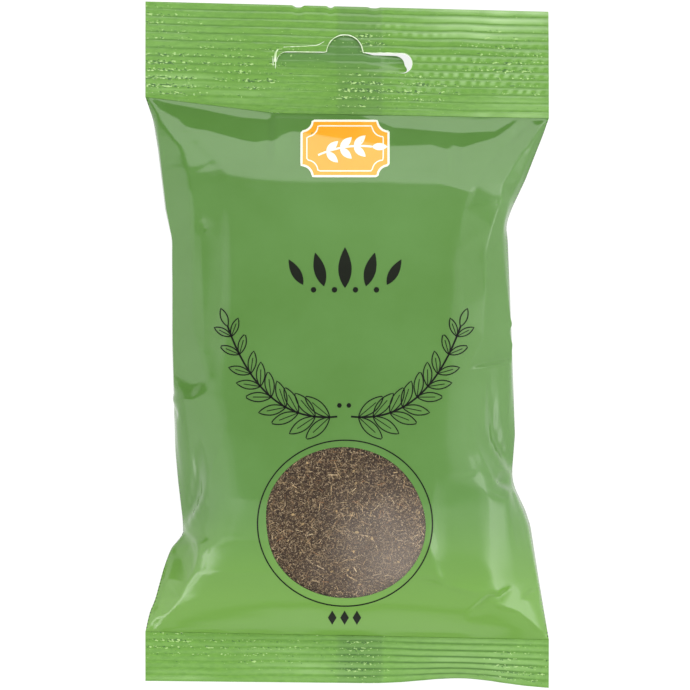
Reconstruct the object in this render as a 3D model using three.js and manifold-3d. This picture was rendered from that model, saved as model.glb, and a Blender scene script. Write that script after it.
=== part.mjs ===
// A sealed pillow pouch of dried thyme, lying on its back.
// Millimetres, +Z up, +Y towards the hang slot. The origin is under the middle of the pouch,
// on the surface that it lies on.
import * as THREE from "three";
import { mergeVertices } from "three/addons/utils/BufferGeometryUtils.js";
import Module from "manifold-3d";

const wasm = await Module();
wasm.setup();
const { lerp, clamp, seededRandom } = THREE.MathUtils;

// The flat tube of film and the thickness that stands in for its thin laminate
const FLAT_WIDTH = 95;
const HALF_WIDTH = FLAT_WIDTH / 2;
const FILM = 0.5;
const TOUCH_GAP = 0.1;

// The crimped ends: where each one starts and stops at the left and right edge of the pouch
const TOP_EDGE = { left: 80.9, right: 78.6 };
const TOP_ROOT = { left: 58.4, right: 53.8 };
const BOTTOM_ROOT = { left: -67.5, right: -69.4 };
const BOTTOM_EDGE = { left: -79.1, right: -81.05 };
const TOP_SEAL_HEIGHT = 8.5;
const BOTTOM_SEAL_HEIGHT = 7.5;
const SEAL_THICKNESS = 1;
const RIDGE_PITCH = 1.8;
const RIDGE_DEPTH = 0.35;
const TOP_EDGE_DROOP = 1.5;
const CURL = { x: 27, reach: 13, dip: 4.5, shortening: 0.14 };

// The filled body: how high it stands and how far from each end it takes to get there
const CROWN = 15;
const SIDE_FOLD_HEIGHT = 11;
const END_HEIGHT = 0.75;
const TOP_SLOPE = 46;
const BOTTOM_SLOPE = 34;
const FLOOR_SETTLE = 0.8;
const FRONT_ROUNDNESS = 2.5;
const BACK_ROUNDNESS = 4;
const LENS_ROUNDNESS = 2;

// How far the sides draw in as the tube fills: share of the way from bottom to top, and distance
const LEFT_INSET = [
  [0, 0],
  [0.12, 4.2],
  [0.18, 9.1],
  [0.3, 7.7],
  [0.73, 6.3],
  [0.78, 5.1],
  [0.94, 2.7],
  [1, 0],
];
const RIGHT_INSET = [
  [0, 0],
  [0.16, 2.8],
  [0.25, 5.4],
  [0.31, 8.7],
  [0.4, 8],
  [0.59, 8.6],
  [0.8, 10],
  [0.93, 3.6],
  [1, 0],
];

// Creases pressed into the front panel, each a straight valley from one point to another
const CREASES = [
  { from: [-42, -43], to: [-35, -53], depth: 3.2, reach: 7 },
  { from: [42, -30], to: [34, -33], depth: 3, reach: 7 },
  { from: [40, 31], to: [33, 35], depth: 2.6, reach: 7 },
  { from: [-44, 54], to: [-34, 36], depth: 1.6, reach: 8 },
  { from: [-30, 50], to: [30, 48], depth: 1.4, reach: 6 },
  { from: [44, -64], to: [34, -58], depth: 1.5, reach: 5 },
];

// The clear disc in the front panel
const WINDOW = { x: -0.5, y: -41.7, radius: 18.75 };
const WINDOW_SIDES = 48;

// The hang slot: a bar with round ends and a round hump for the peg
const SLOT = { x: -0.8, y: 66.7, length: 32, height: 5.5, humpRadius: 4.6, humpRise: 1.8, turn: -0.024 };
const SLOT_CUT_DEPTH = 20;
const ARC_STEPS = 8;

// The fin seal, folded flat in a shallow groove down the back
const FIN = { left: -2.8, right: 8.7, thickness: 0.5 };
const GROOVE_LIFT = FIN.thickness + TOUCH_GAP;
const GROOVE_MARGIN = 0.2;
const GROOVE_WALL = 0.3;

// The dried thyme: how far up the pouch it reaches, and the grain of its surface
const FILL = { start: 0.035, level: 0.8, clearance: 0.9, rim: 0.3 };
const GRAIN_SPACING = 2;
const GRAIN_DEPTH = 1.1;
const GRAIN_SEED = 41;

const BODY_ROWS = 32;
const FRONT_COLUMNS = 20;
const BACK_SIDE_COLUMNS = 7;
const SEAL_COLUMNS = 14;
const FILL_SIDE_COLUMNS = 5;
const FILL_UPPER_ROWS = 9;

const printedFilm = new THREE.MeshStandardMaterial({ color: 0x76a852, roughness: 0.35, metalness: 0 });
const clearFilm = new THREE.MeshStandardMaterial({
  color: 0xe8ece4,
  roughness: 0.15,
  metalness: 0,
  transparent: true,
  opacity: 0.25,
});
const driedThyme = new THREE.MeshStandardMaterial({ color: 0x6f5f4c, roughness: 0.95, metalness: 0 });

// Straight-line reading of a list of [share, value] points
function along(points, share) {
  const next = Math.max(1, points.findIndex(([at]) => at >= share));
  const [fromShare, fromValue] = points[next - 1];
  const [toShare, toValue] = points[next];
  return lerp(fromValue, toValue, (share - fromShare) / (toShare - fromShare));
}

// A line that crosses the pouch from its left edge to its right one, read at x
function across(line, x) {
  return lerp(line.left, line.right, (x + HALF_WIDTH) / FLAT_WIDTH);
}

// Rises from 0 at an end of the body to 1, levelling off at the slope's length
function swell(distance, slope) {
  const remaining = 1 - Math.min(distance / slope, 1);
  return 1 - remaining * remaining;
}

// The section of the filled body at a share of the way from the bottom seal to the top one
function sectionAt(share) {
  const left = -HALF_WIDTH + along(LEFT_INSET, share);
  const right = HALF_WIDTH - along(RIGHT_INSET, share);
  const length = across(TOP_ROOT, 0) - across(BOTTOM_ROOT, 0);
  const full = swell(share * length, BOTTOM_SLOPE) * swell((1 - share) * length, TOP_SLOPE);
  const sealHeight = lerp(BOTTOM_SEAL_HEIGHT, TOP_SEAL_HEIGHT, share);
  return {
    middle: (left + right) / 2,
    half: (right - left) / 2,
    fold: lerp(sealHeight, SIDE_FOLD_HEIGHT, full),
    crown: lerp(END_HEIGHT, CROWN, full),
    belly: lerp(END_HEIGHT, SIDE_FOLD_HEIGHT + FLOOR_SETTLE, full),
    frontRoundness: lerp(LENS_ROUNDNESS, FRONT_ROUNDNESS, full),
    backRoundness: lerp(LENS_ROUNDNESS, BACK_ROUNDNESS, full),
  };
}

function bodyY(x, share) {
  return lerp(across(BOTTOM_ROOT, x), across(TOP_ROOT, x), share);
}

function rounded(side, roundness) {
  return (1 - Math.abs(side) ** roundness) ** (1 / roundness);
}

// How deep the creases are at a point of the front panel
function creaseDepth(x, y) {
  const point = new THREE.Vector2(x, y);
  let depth = 0;
  for (const crease of CREASES) {
    const from = new THREE.Vector2(...crease.from);
    const run = new THREE.Vector2(...crease.to).sub(from);
    const share = clamp(point.clone().sub(from).dot(run) / run.lengthSq(), 0, 1);
    const away = point.distanceTo(from.addScaledVector(run, share));
    depth += crease.depth * Math.max(0, 1 - away / crease.reach) ** 2;
  }
  return depth;
}

// A point of the front panel, or of a surface that lies the inset inside it.
// side runs from -1 at the left fold to 1 at the right one.
function frontPoint(side, share, inset, rim = 0) {
  const s = sectionAt(share);
  const outerX = s.middle + s.half * side;
  const y = bodyY(outerX, share);
  const lift = rounded(side, s.frontRoundness);
  const crease = creaseDepth(outerX, y) * lift * (s.crown / CROWN);
  const z = s.fold + rim + (s.crown - inset - rim) * lift - crease;
  return new THREE.Vector3(s.middle + (s.half - inset) * side, y, z);
}

// A point of the back panel, flat where it lies on the surface and lifted over the fin seal
function backPoint(side, share, inset, rim = 0) {
  const s = sectionAt(share);
  const outerX = s.middle + s.half * side;
  const x = s.middle + (s.half - inset) * side;
  const drop = (s.belly - inset - rim) * rounded(side, s.backRoundness);
  const overFin = outerX > FIN.left - GROOVE_MARGIN && outerX < FIN.right + GROOVE_MARGIN;
  const z = Math.max(s.fold - rim - drop, inset) + (overFin ? GROOVE_LIFT : 0);
  return new THREE.Vector3(x, bodyY(outerX, share), z);
}

// A closed solid between an upper and a lower grid of points, each a list of rows towards +Y
function slab(upper, lower) {
  const rows = upper.length;
  const columns = upper[0].length;
  const positions = [...upper, ...lower].flat().flatMap((p) => p.toArray());
  const top = (i, j) => i * columns + j;
  const bottom = (i, j) => (rows + i) * columns + j;
  const triangles = [];
  const quad = (a, b, c, d) => triangles.push(a, b, c, a, c, d);
  for (let i = 0; i + 1 < rows; i++) {
    for (let j = 0; j + 1 < columns; j++) {
      quad(top(i, j), top(i, j + 1), top(i + 1, j + 1), top(i + 1, j));
      quad(bottom(i, j), bottom(i + 1, j), bottom(i + 1, j + 1), bottom(i, j + 1));
    }
    quad(bottom(i, 0), top(i, 0), top(i + 1, 0), bottom(i + 1, 0));
    quad(bottom(i, columns - 1), bottom(i + 1, columns - 1), top(i + 1, columns - 1), top(i, columns - 1));
  }
  for (let j = 0; j + 1 < columns; j++) {
    quad(bottom(0, j), bottom(0, j + 1), top(0, j + 1), top(0, j));
    quad(bottom(rows - 1, j), top(rows - 1, j), top(rows - 1, j + 1), bottom(rows - 1, j + 1));
  }
  const geometry = new THREE.BufferGeometry();
  geometry.setAttribute("position", new THREE.Float32BufferAttribute(positions, 3));
  geometry.setIndex(triangles);
  return geometry;
}

function evenly(count, from = 0, to = 1) {
  return Array.from({ length: count + 1 }, (_, i) => lerp(from, to, i / count));
}

function grid(rowValues, columnValues, point) {
  return rowValues.map((row) => columnValues(row).map((column) => point(column, row)));
}

// Booleans between closed geometries
function toSolid(geometry) {
  const bare = geometry.clone();
  bare.deleteAttribute("normal");
  bare.deleteAttribute("uv");
  const merged = mergeVertices(bare, 1e-4);
  return new wasm.Manifold(
    new wasm.Mesh({
      numProp: 3,
      vertProperties: merged.attributes.position.array,
      triVerts: new Uint32Array(merged.index.array),
    }),
  );
}

function toGeometry(solid) {
  const mesh = solid.getMesh();
  const geometry = new THREE.BufferGeometry();
  geometry.setAttribute("position", new THREE.BufferAttribute(mesh.vertProperties, 3));
  geometry.setIndex(new THREE.BufferAttribute(mesh.triVerts, 1));
  return geometry;
}

// Front panel: the whole panel first, then the hole and the clear disc that fills it
const bodyShares = evenly(BODY_ROWS);

function frontPanel() {
  const sides = evenly(FRONT_COLUMNS).map((u) => -Math.cos(Math.PI * u));
  const columns = () => sides;
  const seam = new THREE.Vector3(0, 0, TOUCH_GAP / 2);
  const outer = grid(bodyShares, columns, (side, share) => frontPoint(side, share, 0).add(seam));
  const inner = grid(bodyShares, columns, (side, share) => frontPoint(side, share, FILM).add(seam));
  return slab(outer, inner);
}

function windowPlug(radius) {
  const plug = new THREE.CylinderGeometry(radius, radius, FLAT_WIDTH, WINDOW_SIDES);
  return plug.rotateX(Math.PI / 2).translate(WINDOW.x, WINDOW.y, 0);
}

const wholeFront = toSolid(frontPanel());
const frontFilm = toGeometry(wholeFront.subtract(toSolid(windowPlug(WINDOW.radius))));
const windowFilm = toGeometry(wholeFront.intersect(toSolid(windowPlug(WINDOW.radius - TOUCH_GAP))));

// Back panel, with columns that follow both edges of the fin seal's groove
function backColumns(share) {
  const s = sectionAt(share);
  const sideOf = (x) => (x - s.middle) / s.half;
  const outerLeft = sideOf(FIN.left - GROOVE_MARGIN - GROOVE_WALL);
  const outerRight = sideOf(FIN.right + GROOVE_MARGIN + GROOVE_WALL);
  const spread = evenly(BACK_SIDE_COLUMNS).map((u) => 1 - Math.cos((Math.PI / 2) * u));
  const groove = evenly(2, sideOf(FIN.left - GROOVE_MARGIN / 2), sideOf(FIN.right + GROOVE_MARGIN / 2));
  const leftPart = spread.map((u) => lerp(-1, outerLeft, u));
  const rightPart = spread.map((u) => lerp(1, outerRight, u)).reverse();
  return [...leftPart, ...groove, ...rightPart];
}

function backFilm() {
  const seam = new THREE.Vector3(0, 0, -TOUCH_GAP / 2);
  const lowered = (inset) => (side, share) => {
    const p = backPoint(side, share, inset).add(seam);
    p.z = Math.max(p.z, inset);
    return p;
  };
  return slab(grid(bodyShares, backColumns, lowered(FILM)), grid(bodyShares, backColumns, lowered(0)));
}

// Fin seal: a flat strip that follows the bottom of the groove
function finSeal() {
  const columns = (share) => {
    const s = sectionAt(share);
    return evenly(2, FIN.left, FIN.right).map((x) => (x - s.middle) / s.half);
  };
  const strip = (drop) => (side, share) => {
    const p = backPoint(side, share, 0);
    p.z -= drop;
    return p;
  };
  return slab(
    grid(bodyShares, columns, strip(TOUCH_GAP)),
    grid(bodyShares, columns, strip(TOUCH_GAP + FIN.thickness)),
  );
}

// A crimped end: both faces carry the same ridges, so the strip is corrugated
function crimpedEnd(root, edge, height, bend) {
  const length = Math.abs(edge.left - root.left);
  const folds = 2 * Math.round(length / RIDGE_PITCH);
  const xs = evenly(SEAL_COLUMNS, -HALF_WIDTH, HALF_WIDTH);
  const towardsTop = Math.sign(edge.left - root.left);
  const steps = evenly(folds).map((u, i) => ({ u, ridge: (i % 2 ? 1 : -1) * (RIDGE_DEPTH / 2) }));
  const rows = towardsTop > 0 ? steps : steps.reverse();
  const face = (offset) => (x, { u, ridge }) => {
    const { reach, drop } = bend(x, u);
    const start = across(root, x) + towardsTop * TOUCH_GAP;
    return new THREE.Vector3(x, lerp(start, across(edge, x), u * reach), height - drop + ridge + offset);
  };
  const columns = () => xs;
  return slab(grid(rows, columns, face(SEAL_THICKNESS / 2)), grid(rows, columns, face(-SEAL_THICKNESS / 2)));
}

function hangSlot() {
  const halfBar = SLOT.height / 2;
  const barEnd = SLOT.length / 2 - halfBar;
  const humpStart = Math.asin((halfBar - SLOT.humpRise) / SLOT.humpRadius);
  const outline = new THREE.Shape();
  outline.absarc(barEnd, 0, halfBar, -Math.PI / 2, Math.PI / 2);
  outline.absarc(0, SLOT.humpRise, SLOT.humpRadius, humpStart, Math.PI - humpStart);
  outline.absarc(-barEnd, 0, halfBar, Math.PI / 2, (3 * Math.PI) / 2);
  outline.closePath();
  const cut = new THREE.ExtrudeGeometry(outline, {
    depth: SLOT_CUT_DEPTH,
    bevelEnabled: false,
    curveSegments: ARC_STEPS,
  });
  return cut.rotateZ(SLOT.turn).translate(SLOT.x, SLOT.y, 0);
}

function topSeal() {
  const droop = (x, u) => ({ reach: 1, drop: TOP_EDGE_DROOP * u * u });
  const strip = crimpedEnd(TOP_ROOT, TOP_EDGE, TOP_SEAL_HEIGHT, droop);
  return toGeometry(toSolid(strip).subtract(toSolid(hangSlot())));
}

function bottomSeal() {
  const curl = (x, u) => {
    const near = Math.exp(-(((x - CURL.x) / CURL.reach) ** 2));
    return { reach: 1 - CURL.shortening * near * u, drop: CURL.dip * near * u * u };
  };
  return crimpedEnd(BOTTOM_ROOT, BOTTOM_EDGE, BOTTOM_SEAL_HEIGHT, curl);
}

// Dried thyme: one settled mass, grained where the window shows it
function thymeFill() {
  const inset = FILM + FILL.clearance;
  const grainCount = Math.round((2 * WINDOW.radius) / GRAIN_SPACING);
  const bodyLength = across(TOP_ROOT, WINDOW.x) - across(BOTTOM_ROOT, WINDOW.x);
  const shareOf = (y) => (y - across(BOTTOM_ROOT, WINDOW.x)) / bodyLength;
  const firstGrain = shareOf(WINDOW.y - WINDOW.radius);
  const lastGrain = shareOf(WINDOW.y + WINDOW.radius);
  const shares = [
    FILL.start,
    ...evenly(grainCount, firstGrain, lastGrain),
    ...evenly(FILL_UPPER_ROWS, lastGrain, FILL.level).slice(1),
  ];
  const columns = (share) => {
    const s = sectionAt(share);
    const sideOf = (x) => (x - s.middle) / s.half;
    const grains = evenly(grainCount, sideOf(WINDOW.x - WINDOW.radius), sideOf(WINDOW.x + WINDOW.radius));
    const spread = evenly(FILL_SIDE_COLUMNS).map((u) => 1 - Math.cos((Math.PI / 2) * u));
    const leftPart = spread.map((u) => lerp(-1, grains[0], u)).slice(0, -1);
    const rightPart = spread.map((u) => lerp(1, grains.at(-1), u)).slice(0, -1).reverse();
    return [...leftPart, ...grains, ...rightPart];
  };
  seededRandom(GRAIN_SEED);
  const grained = (side, share) => {
    const p = frontPoint(side, share, inset, FILL.rim);
    const fromCentre = Math.hypot(p.x - WINDOW.x, p.y - WINDOW.y);
    if (fromCentre < WINDOW.radius + GRAIN_SPACING) p.z -= GRAIN_DEPTH * seededRandom();
    return p;
  };
  const settled = (side, share) => {
    const p = backPoint(side, share, inset, FILL.rim);
    p.z = Math.max(p.z, inset + GROOVE_LIFT);
    return p;
  };
  return slab(grid(shares, columns, grained), grid(shares, columns, settled));
}

const pouch = new THREE.Group();
const add = (name, geometry, material) => {
  const mesh = new THREE.Mesh(geometry, material);
  mesh.name = name;
  pouch.add(mesh);
};

add("front_film", frontFilm, printedFilm);
add("window_film", windowFilm, clearFilm);
add("back_film", backFilm(), printedFilm);
add("fin_seal", finSeal(), printedFilm);
add("top_seal", topSeal(), printedFilm);
add("bottom_seal", bottomSeal(), printedFilm);
add("thyme_fill", thymeFill(), driedThyme);

export default pouch;
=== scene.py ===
import math

import bpy
import numpy as np
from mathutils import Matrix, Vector
from mathutils.geometry import delaunay_2d_cdt


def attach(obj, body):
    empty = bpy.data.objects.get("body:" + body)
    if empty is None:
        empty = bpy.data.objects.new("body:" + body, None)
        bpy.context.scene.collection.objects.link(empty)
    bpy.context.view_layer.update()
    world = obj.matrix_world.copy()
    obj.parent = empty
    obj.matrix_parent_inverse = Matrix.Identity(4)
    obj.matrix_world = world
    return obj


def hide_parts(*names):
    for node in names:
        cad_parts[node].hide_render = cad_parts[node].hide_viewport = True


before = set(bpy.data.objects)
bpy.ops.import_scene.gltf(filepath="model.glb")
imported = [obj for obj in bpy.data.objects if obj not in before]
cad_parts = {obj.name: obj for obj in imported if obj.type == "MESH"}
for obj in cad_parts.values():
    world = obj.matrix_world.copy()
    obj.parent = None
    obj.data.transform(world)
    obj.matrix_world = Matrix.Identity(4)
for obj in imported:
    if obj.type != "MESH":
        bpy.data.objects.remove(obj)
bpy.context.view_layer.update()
mm = 0.001


def srgb(red, green, blue):
    # 0-255 colour to the linear values that sockets take
    channels = [c / 255 for c in (red, green, blue)]
    return [c / 12.92 if c <= 0.04045 else ((c + 0.055) / 1.055) ** 2.4 for c in channels] + [1]


def deselectAll():
    if bpy.context.object and bpy.context.object.mode != "OBJECT":
        bpy.ops.object.mode_set(mode="OBJECT")
    bpy.ops.object.select_all(action="DESELECT")


def selectOnly(piece):
    deselectAll()
    piece.select_set(True)
    bpy.context.view_layer.objects.active = piece


def applyModifier(piece, kind, **settings):
    bpy.context.view_layer.objects.active = piece
    modifier = piece.modifiers.new(kind, kind)
    for key, value in settings.items():
        setattr(modifier, key, value)
    bpy.ops.object.modifier_apply(modifier=modifier.name)


def readPoints(piece):
    points = np.empty(len(piece.data.vertices) * 3)
    piece.data.vertices.foreach_get("co", points)
    return points.reshape(-1, 3)


def writePoints(piece, points):
    piece.data.vertices.foreach_set("co", np.asarray(points, np.float32).ravel())
    piece.data.update()


def flatGrid(name, width, length, step, centre=(0, 0)):
    # a flat sheet of small squares, ready to be shaped
    deselectAll()
    bpy.ops.mesh.primitive_grid_add(
        x_subdivisions=max(1, round(width / step[0])), y_subdivisions=max(1, round(length / step[1])),
        size=1, location=(0, 0, 0))
    sheet = bpy.context.object
    sheet.name = sheet.data.name = name
    points = readPoints(sheet)
    writePoints(sheet, points * (width, length, 1) + (*centre, 0))
    return sheet


def joinPieces(main, *others):
    deselectAll()
    for piece in (main, *others):
        piece.select_set(True)
    bpy.context.view_layer.objects.active = main
    bpy.ops.object.join()
    return main


def editAll(piece, operator, **settings):
    # runs an edit operator on the whole of a piece
    selectOnly(piece)
    bpy.ops.object.mode_set(mode="EDIT")
    bpy.ops.mesh.select_all(action="SELECT")
    operator(**settings)
    bpy.ops.object.mode_set(mode="OBJECT")


def addBack(front, back):
    # two sheets as one piece, with the back's faces turned over
    editAll(back, bpy.ops.mesh.flip_normals)
    return joinPieces(front, back)


def smooth(piece, sharpAngle=None):
    selectOnly(piece)
    if sharpAngle is None:
        bpy.ops.object.shade_smooth()
    else:
        bpy.ops.object.shade_smooth_by_angle(angle=math.radians(sharpAngle))


def ease(value):
    value = np.clip(value, 0, 1)
    return value * value * (3 - 2 * value)


def valueNoise(x, y, size, seed):
    # soft seeded noise between 0 and 1
    cells = 64
    table = np.random.default_rng(seed).random((cells, cells))
    u, v = x / size, y / size
    i, j = np.floor(u).astype(int), np.floor(v).astype(int)
    fu, fv = ease(u - i), ease(v - j)
    corners = [table[(i + a) % cells, (j + b) % cells] for a, b in ((0, 0), (1, 0), (0, 1), (1, 1))]
    low = corners[0] * (1 - fu) + corners[1] * fu
    high = corners[2] * (1 - fu) + corners[3] * fu
    return low * (1 - fv) + high * fv


def uneven(look, x, y, seed):
    # a value that varies over a sheet: its least, its range, the size of its patches and its own seed step
    least, span, size, seedStep = look
    return least + span * valueNoise(x, y, size, seed + seedStep)


def lineAt(line, x):
    # height of a bent line of points in mm
    xs, ys = np.array(line).T * mm
    return np.interp(x, xs, ys)


# The view: straight down on the packet, from far enough to look flat
view = {"centre": (-0.5 * mm, 0.0), "height": 1.7, "tallest": 162.4 * mm, "plane": 9 * mm, "farthest": 10}


def setCamera():
    deselectAll()
    bpy.ops.object.camera_add(location=(*view["centre"], view["height"]), rotation=(0, 0, 0))
    camera = bpy.context.object
    camera.data.sensor_fit = "VERTICAL"
    camera.data.angle = 2 * math.atan(view["tallest"] / 2 / (view["height"] - view["plane"]))
    camera.data.clip_end = view["farthest"]
    bpy.context.scene.camera = camera
    print("camera set")


setCamera()


# The filled film tube: a flat tube, crimped at both ends and pushed out by its filling
pouch = {
    "width": 95 * mm,
    "filmLength": 130.5 * mm,        # along the film from crimp to crimp
    "topRoot": [(-47.5, 58.4), (-17, 54.6), (47.5, 53.4)],
    "bottomRoot": [(-47.5, -67.5), (47.5, -69.4)],
    "rootHeight": 8.4 * mm,
    "columns": 56,
    "rows": 76,
    "startBulge": 6 * mm,
    "startRound": 0.6,
    "startWeld": 1e-6,
    "kinks": [(-1, -44.5), (1, -31.5), (1, 29)],   # where each side folds in: side and height, mm
    "kinkDepth": 6 * mm,
    "kinkSize": (18 * mm, 8 * mm),
    "simScale": 10,                  # cloth behaves better at furniture size
    "frames": 30,
    "quickFrames": 14,
    "cloth": {"quality": 20, "mass": 0.15, "tension_stiffness": 1000, "compression_stiffness": 1000,
              "shear_stiffness": 300, "bending_stiffness": 0.05, "tension_damping": 10,
              "compression_damping": 10, "shear_damping": 10, "air_damping": 2, "use_pressure": True,
              "use_pressure_volume": True, "uniform_pressure_force": 500, "target_volume": 0.205},
    "clothGap": 0.004,
    "tableSize": 6,
    "tableGap": 0.005,
    # height of the front along the middle once the thyme has settled, by the way down from the top crimp, mm
    "settled": [(0, 8.4), (3, 10), (6, 11.9), (9, 13.9), (12.7, 16.2), (15.5, 17.4), (20, 18.4), (25, 19.1),
                (40, 20.5), (60, 22.4), (78, 24.9), (92, 26), (102, 25), (110, 21.6), (117, 16.2),
                (121, 12.3), (124.5, 8.9)],
    "settledBlur": 1.2 * mm,
    "settledSteps": 500,
}
film = {"step": 0.45 * mm, "backStep": 0.9 * mm, "floorGap": 0.35 * mm, "sharp": 75, "weld": 0.02 * mm,
        "rimFade": 1.2 * mm, "sideFade": 0.12, "leastBlown": 0.3 * mm, "rise": (0.4, 3), "seek": (12, 0.8)}
closeEnough = 1e-5


def startTube():
    size = (pouch["width"], pouch["filmLength"])
    step = (size[0] / pouch["columns"], size[1] / pouch["rows"])
    front, back = (flatGrid(name, *size, step) for name in ("filmTubeStart", "filmTubeBack"))
    for layer, sign in ((front, 1), (back, -1)):
        flat = readPoints(layer)
        across, up = (flat[:, k] / size[k] + 0.5 for k in (0, 1))
        bulge = np.sin(np.pi * np.clip(up, 0, 1)) * np.sin(np.pi * np.clip(across, 0, 1))
        flat[:, 2] = sign * pouch["startBulge"] * np.maximum(bulge, 0) ** pouch["startRound"]
        edge = (np.minimum(across, 1 - across) < closeEnough) | (np.minimum(up, 1 - up) < closeEnough)
        flat[edge, 2] = 0
        writePoints(layer, flat)
    tube = addBack(front, back)
    editAll(tube, bpy.ops.mesh.remove_doubles, threshold=pouch["startWeld"])
    return tube


def blowUp():
    # cloth simulation of the tube, with the crimp lines held and the back on the table
    scale = pouch["simScale"]
    tube = startTube()
    start = readPoints(tube)
    flat = start * (1, 1, 0)
    up = flat[:, 1] / pouch["filmLength"] + 0.5
    bottom, top = (lineAt(pouch[end], flat[:, 0]) for end in ("bottomRoot", "topRoot"))
    start[:, 1] = (1 - up) * bottom + up * top
    layer = np.sign(np.round(start[:, 2], 7))
    for side, height in pouch["kinks"]:
        away = np.hypot((start[:, 0] - side * pouch["width"] / 2) / pouch["kinkSize"][0],
                        (start[:, 1] - height * mm) / pouch["kinkSize"][1])
        start[:, 0] -= side * pouch["kinkDepth"] * np.exp(-away * away)
    writePoints(tube, start * scale)
    tube.shape_key_add(name="start")
    cutFlat = tube.shape_key_add(name="cutFlat")
    cutFlat.data.foreach_set("co", np.asarray(flat * scale, np.float32).ravel())
    held = tube.vertex_groups.new(name="crimped")
    ends = np.nonzero(np.minimum(up, 1 - up) < closeEnough)[0]
    held.add(ends.tolist(), 1, "REPLACE")
    cloth = tube.modifiers.new("film", "CLOTH")
    for key, value in pouch["cloth"].items():
        setattr(cloth.settings, key, value)
    cloth.settings.vertex_group_mass = held.name
    cloth.settings.rest_shape_key = cutFlat
    cloth.settings.effector_weights.gravity = 0
    cloth.collision_settings.distance_min = pouch["clothGap"]
    deselectAll()
    bpy.ops.mesh.primitive_plane_add(size=pouch["tableSize"], location=(0, 0, -pouch["rootHeight"] * scale))
    table = bpy.context.object
    table.modifiers.new("table", "COLLISION")
    table.collision.thickness_outer = pouch["tableGap"]
    scene = bpy.context.scene
    frames = pouch["frames"]
    cloth.point_cache.frame_end = frames
    for step in range(1, frames + 1):
        scene.frame_set(step)
    shaped = tube.evaluated_get(bpy.context.evaluated_depsgraph_get())
    points = np.array([v.co for v in shaped.data.vertices]) / scale
    scene.frame_set(1)
    order = np.lexsort((np.round(flat[:, 0], 6), np.round(flat[:, 1], 6)))
    shape = (pouch["rows"] + 1, pouch["columns"] + 1, 3)
    sheets = [points[order[layer[order] * sign >= 0]].reshape(shape) for sign in (1, -1)]
    for extra in (tube, table):
        bpy.data.objects.remove(extra)
    print("film tube filled")
    return sheets


# The outline that the packet settled to, left and right, height and width in mm
outline = {
    "fade": 0.3,
    "left": [(-67.5, -47.5), (-63, -46.5), (-60, -45.2), (-53, -43.3), (-49.5, -42.1), (-47.6, -41.2),
             (-44.6, -38.6), (-41, -38.7), (-31.8, -39.8), (-25, -40.4), (0, -41.2), (24.7, -41.2),
             (31.8, -42.8), (45.9, -44.5), (52.9, -45.6), (58.4, -47.5)],
    "right": [(-69.4, 47.5), (-60, 45.9), (-49.4, 44.2), (-42.4, 43.1), (-38.8, 41.9), (-33, 39.2),
              (-30, 38.8), (-21.2, 39.5), (0, 38.8), (24.7, 37.8), (28.2, 37.4), (31.8, 38.6), (38.8, 41.9),
              (45.9, 44.7), (49.4, 46.1), (53.4, 47.5)],
}


def fitOutline(sheets):
    # draws the sides onto the outline, fading out towards the middle of the packet
    rims = {"left": simulatedRim(sheets, 0), "right": simulatedRim(sheets, -1)}
    for sheet in sheets:
        x, y = sheet[..., 0].copy(), sheet[..., 1]
        found = {side: np.interp(y, *rim) for side, rim in rims.items()}
        share = (x - found["left"]) / (found["right"] - found["left"])
        for side, fromSide in (("left", share), ("right", 1 - share)):
            shift = lineAt(outline[side], y) - found[side]
            sheet[..., 0] += shift * ease(1 - fromSide / outline["fade"])
    settle(*sheets)


def simulatedRim(sheets, column):
    rim = sheets[0][:, column]
    order = np.argsort(rim[:, 1])
    return rim[order, 1], rim[order, 0]


def settledHeight(share):
    # smooth height of the front along its middle, share running from the top crimp to the bottom one
    ways, heights = np.array(pouch["settled"]).T * mm
    dense = np.linspace(0, ways[-1], pouch["settledSteps"])
    steps = round(pouch["settledBlur"] / dense[1])
    soft = np.hanning(2 * steps + 1)
    padded = np.concatenate([2 * heights[0] - np.interp(dense[steps:0:-1], ways, heights),
                             np.interp(dense, ways, heights),
                             2 * heights[-1] - np.interp(dense[-2:-steps - 2:-1], ways, heights)])
    return np.interp(share * ways[-1], dense, np.convolve(padded, soft / soft.sum(), "valid"))


def downFromTop(x, y):
    top, bottom = (lineAt(pouch[end], x) for end in ("topRoot", "bottomRoot"))
    return np.clip((top - y) / (top - bottom), 0, 1)


def settle(front, back):
    # the thyme sits low in the packet, and the back lies on the table
    root = pouch["rootHeight"]
    for sheet in (front, back):
        sheet[..., 2] -= front[0, :, 2].mean()
    share = downFromTop(front[..., 0], front[..., 1])
    centre = front.shape[1] // 2
    order = np.argsort(share[:, centre])
    blown = np.maximum(front[order, centre, 2], film["leastBlown"])
    rise = np.clip((settledHeight(share[order, centre]) - root) / blown, *film["rise"])
    front[..., 2] *= np.interp(share, share[order, centre], rise)
    back[..., 2] *= (root - film["floorGap"]) / -back[..., 2].min()
    # the back is drawn up to the front along both sides
    columns = np.arange(front.shape[1])
    for side in (0, front.shape[1] - 1):
        gap = front[:, side, 2] - back[:, side, 2]
        back[..., 2] += gap[:, None] * ease(1 - np.abs(columns - side) / (film["sideFade"] * len(columns)))
    for sheet in (front, back):
        sheet[..., 2] += root
    print("packet %.1f mm thick" % (front[..., 2].max() / mm))


def cubicWeights(t):
    return np.stack([-0.5 * t + t**2 - 0.5 * t**3, 1 - 2.5 * t**2 + 1.5 * t**3,
                     0.5 * t + 2 * t**2 - 1.5 * t**3, 0.5 * (t**3 - t**2)], -1)


def withMargin(sheet):
    # one more row and column on each side, carried on straight
    for axis in (1, 0):
        sheet = np.moveaxis(sheet, axis, 0)
        sheet = np.concatenate([2 * sheet[:1] - sheet[1:2], sheet, 2 * sheet[-1:] - sheet[-2:-1]])
        sheet = np.moveaxis(sheet, 0, axis)
    return sheet


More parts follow.
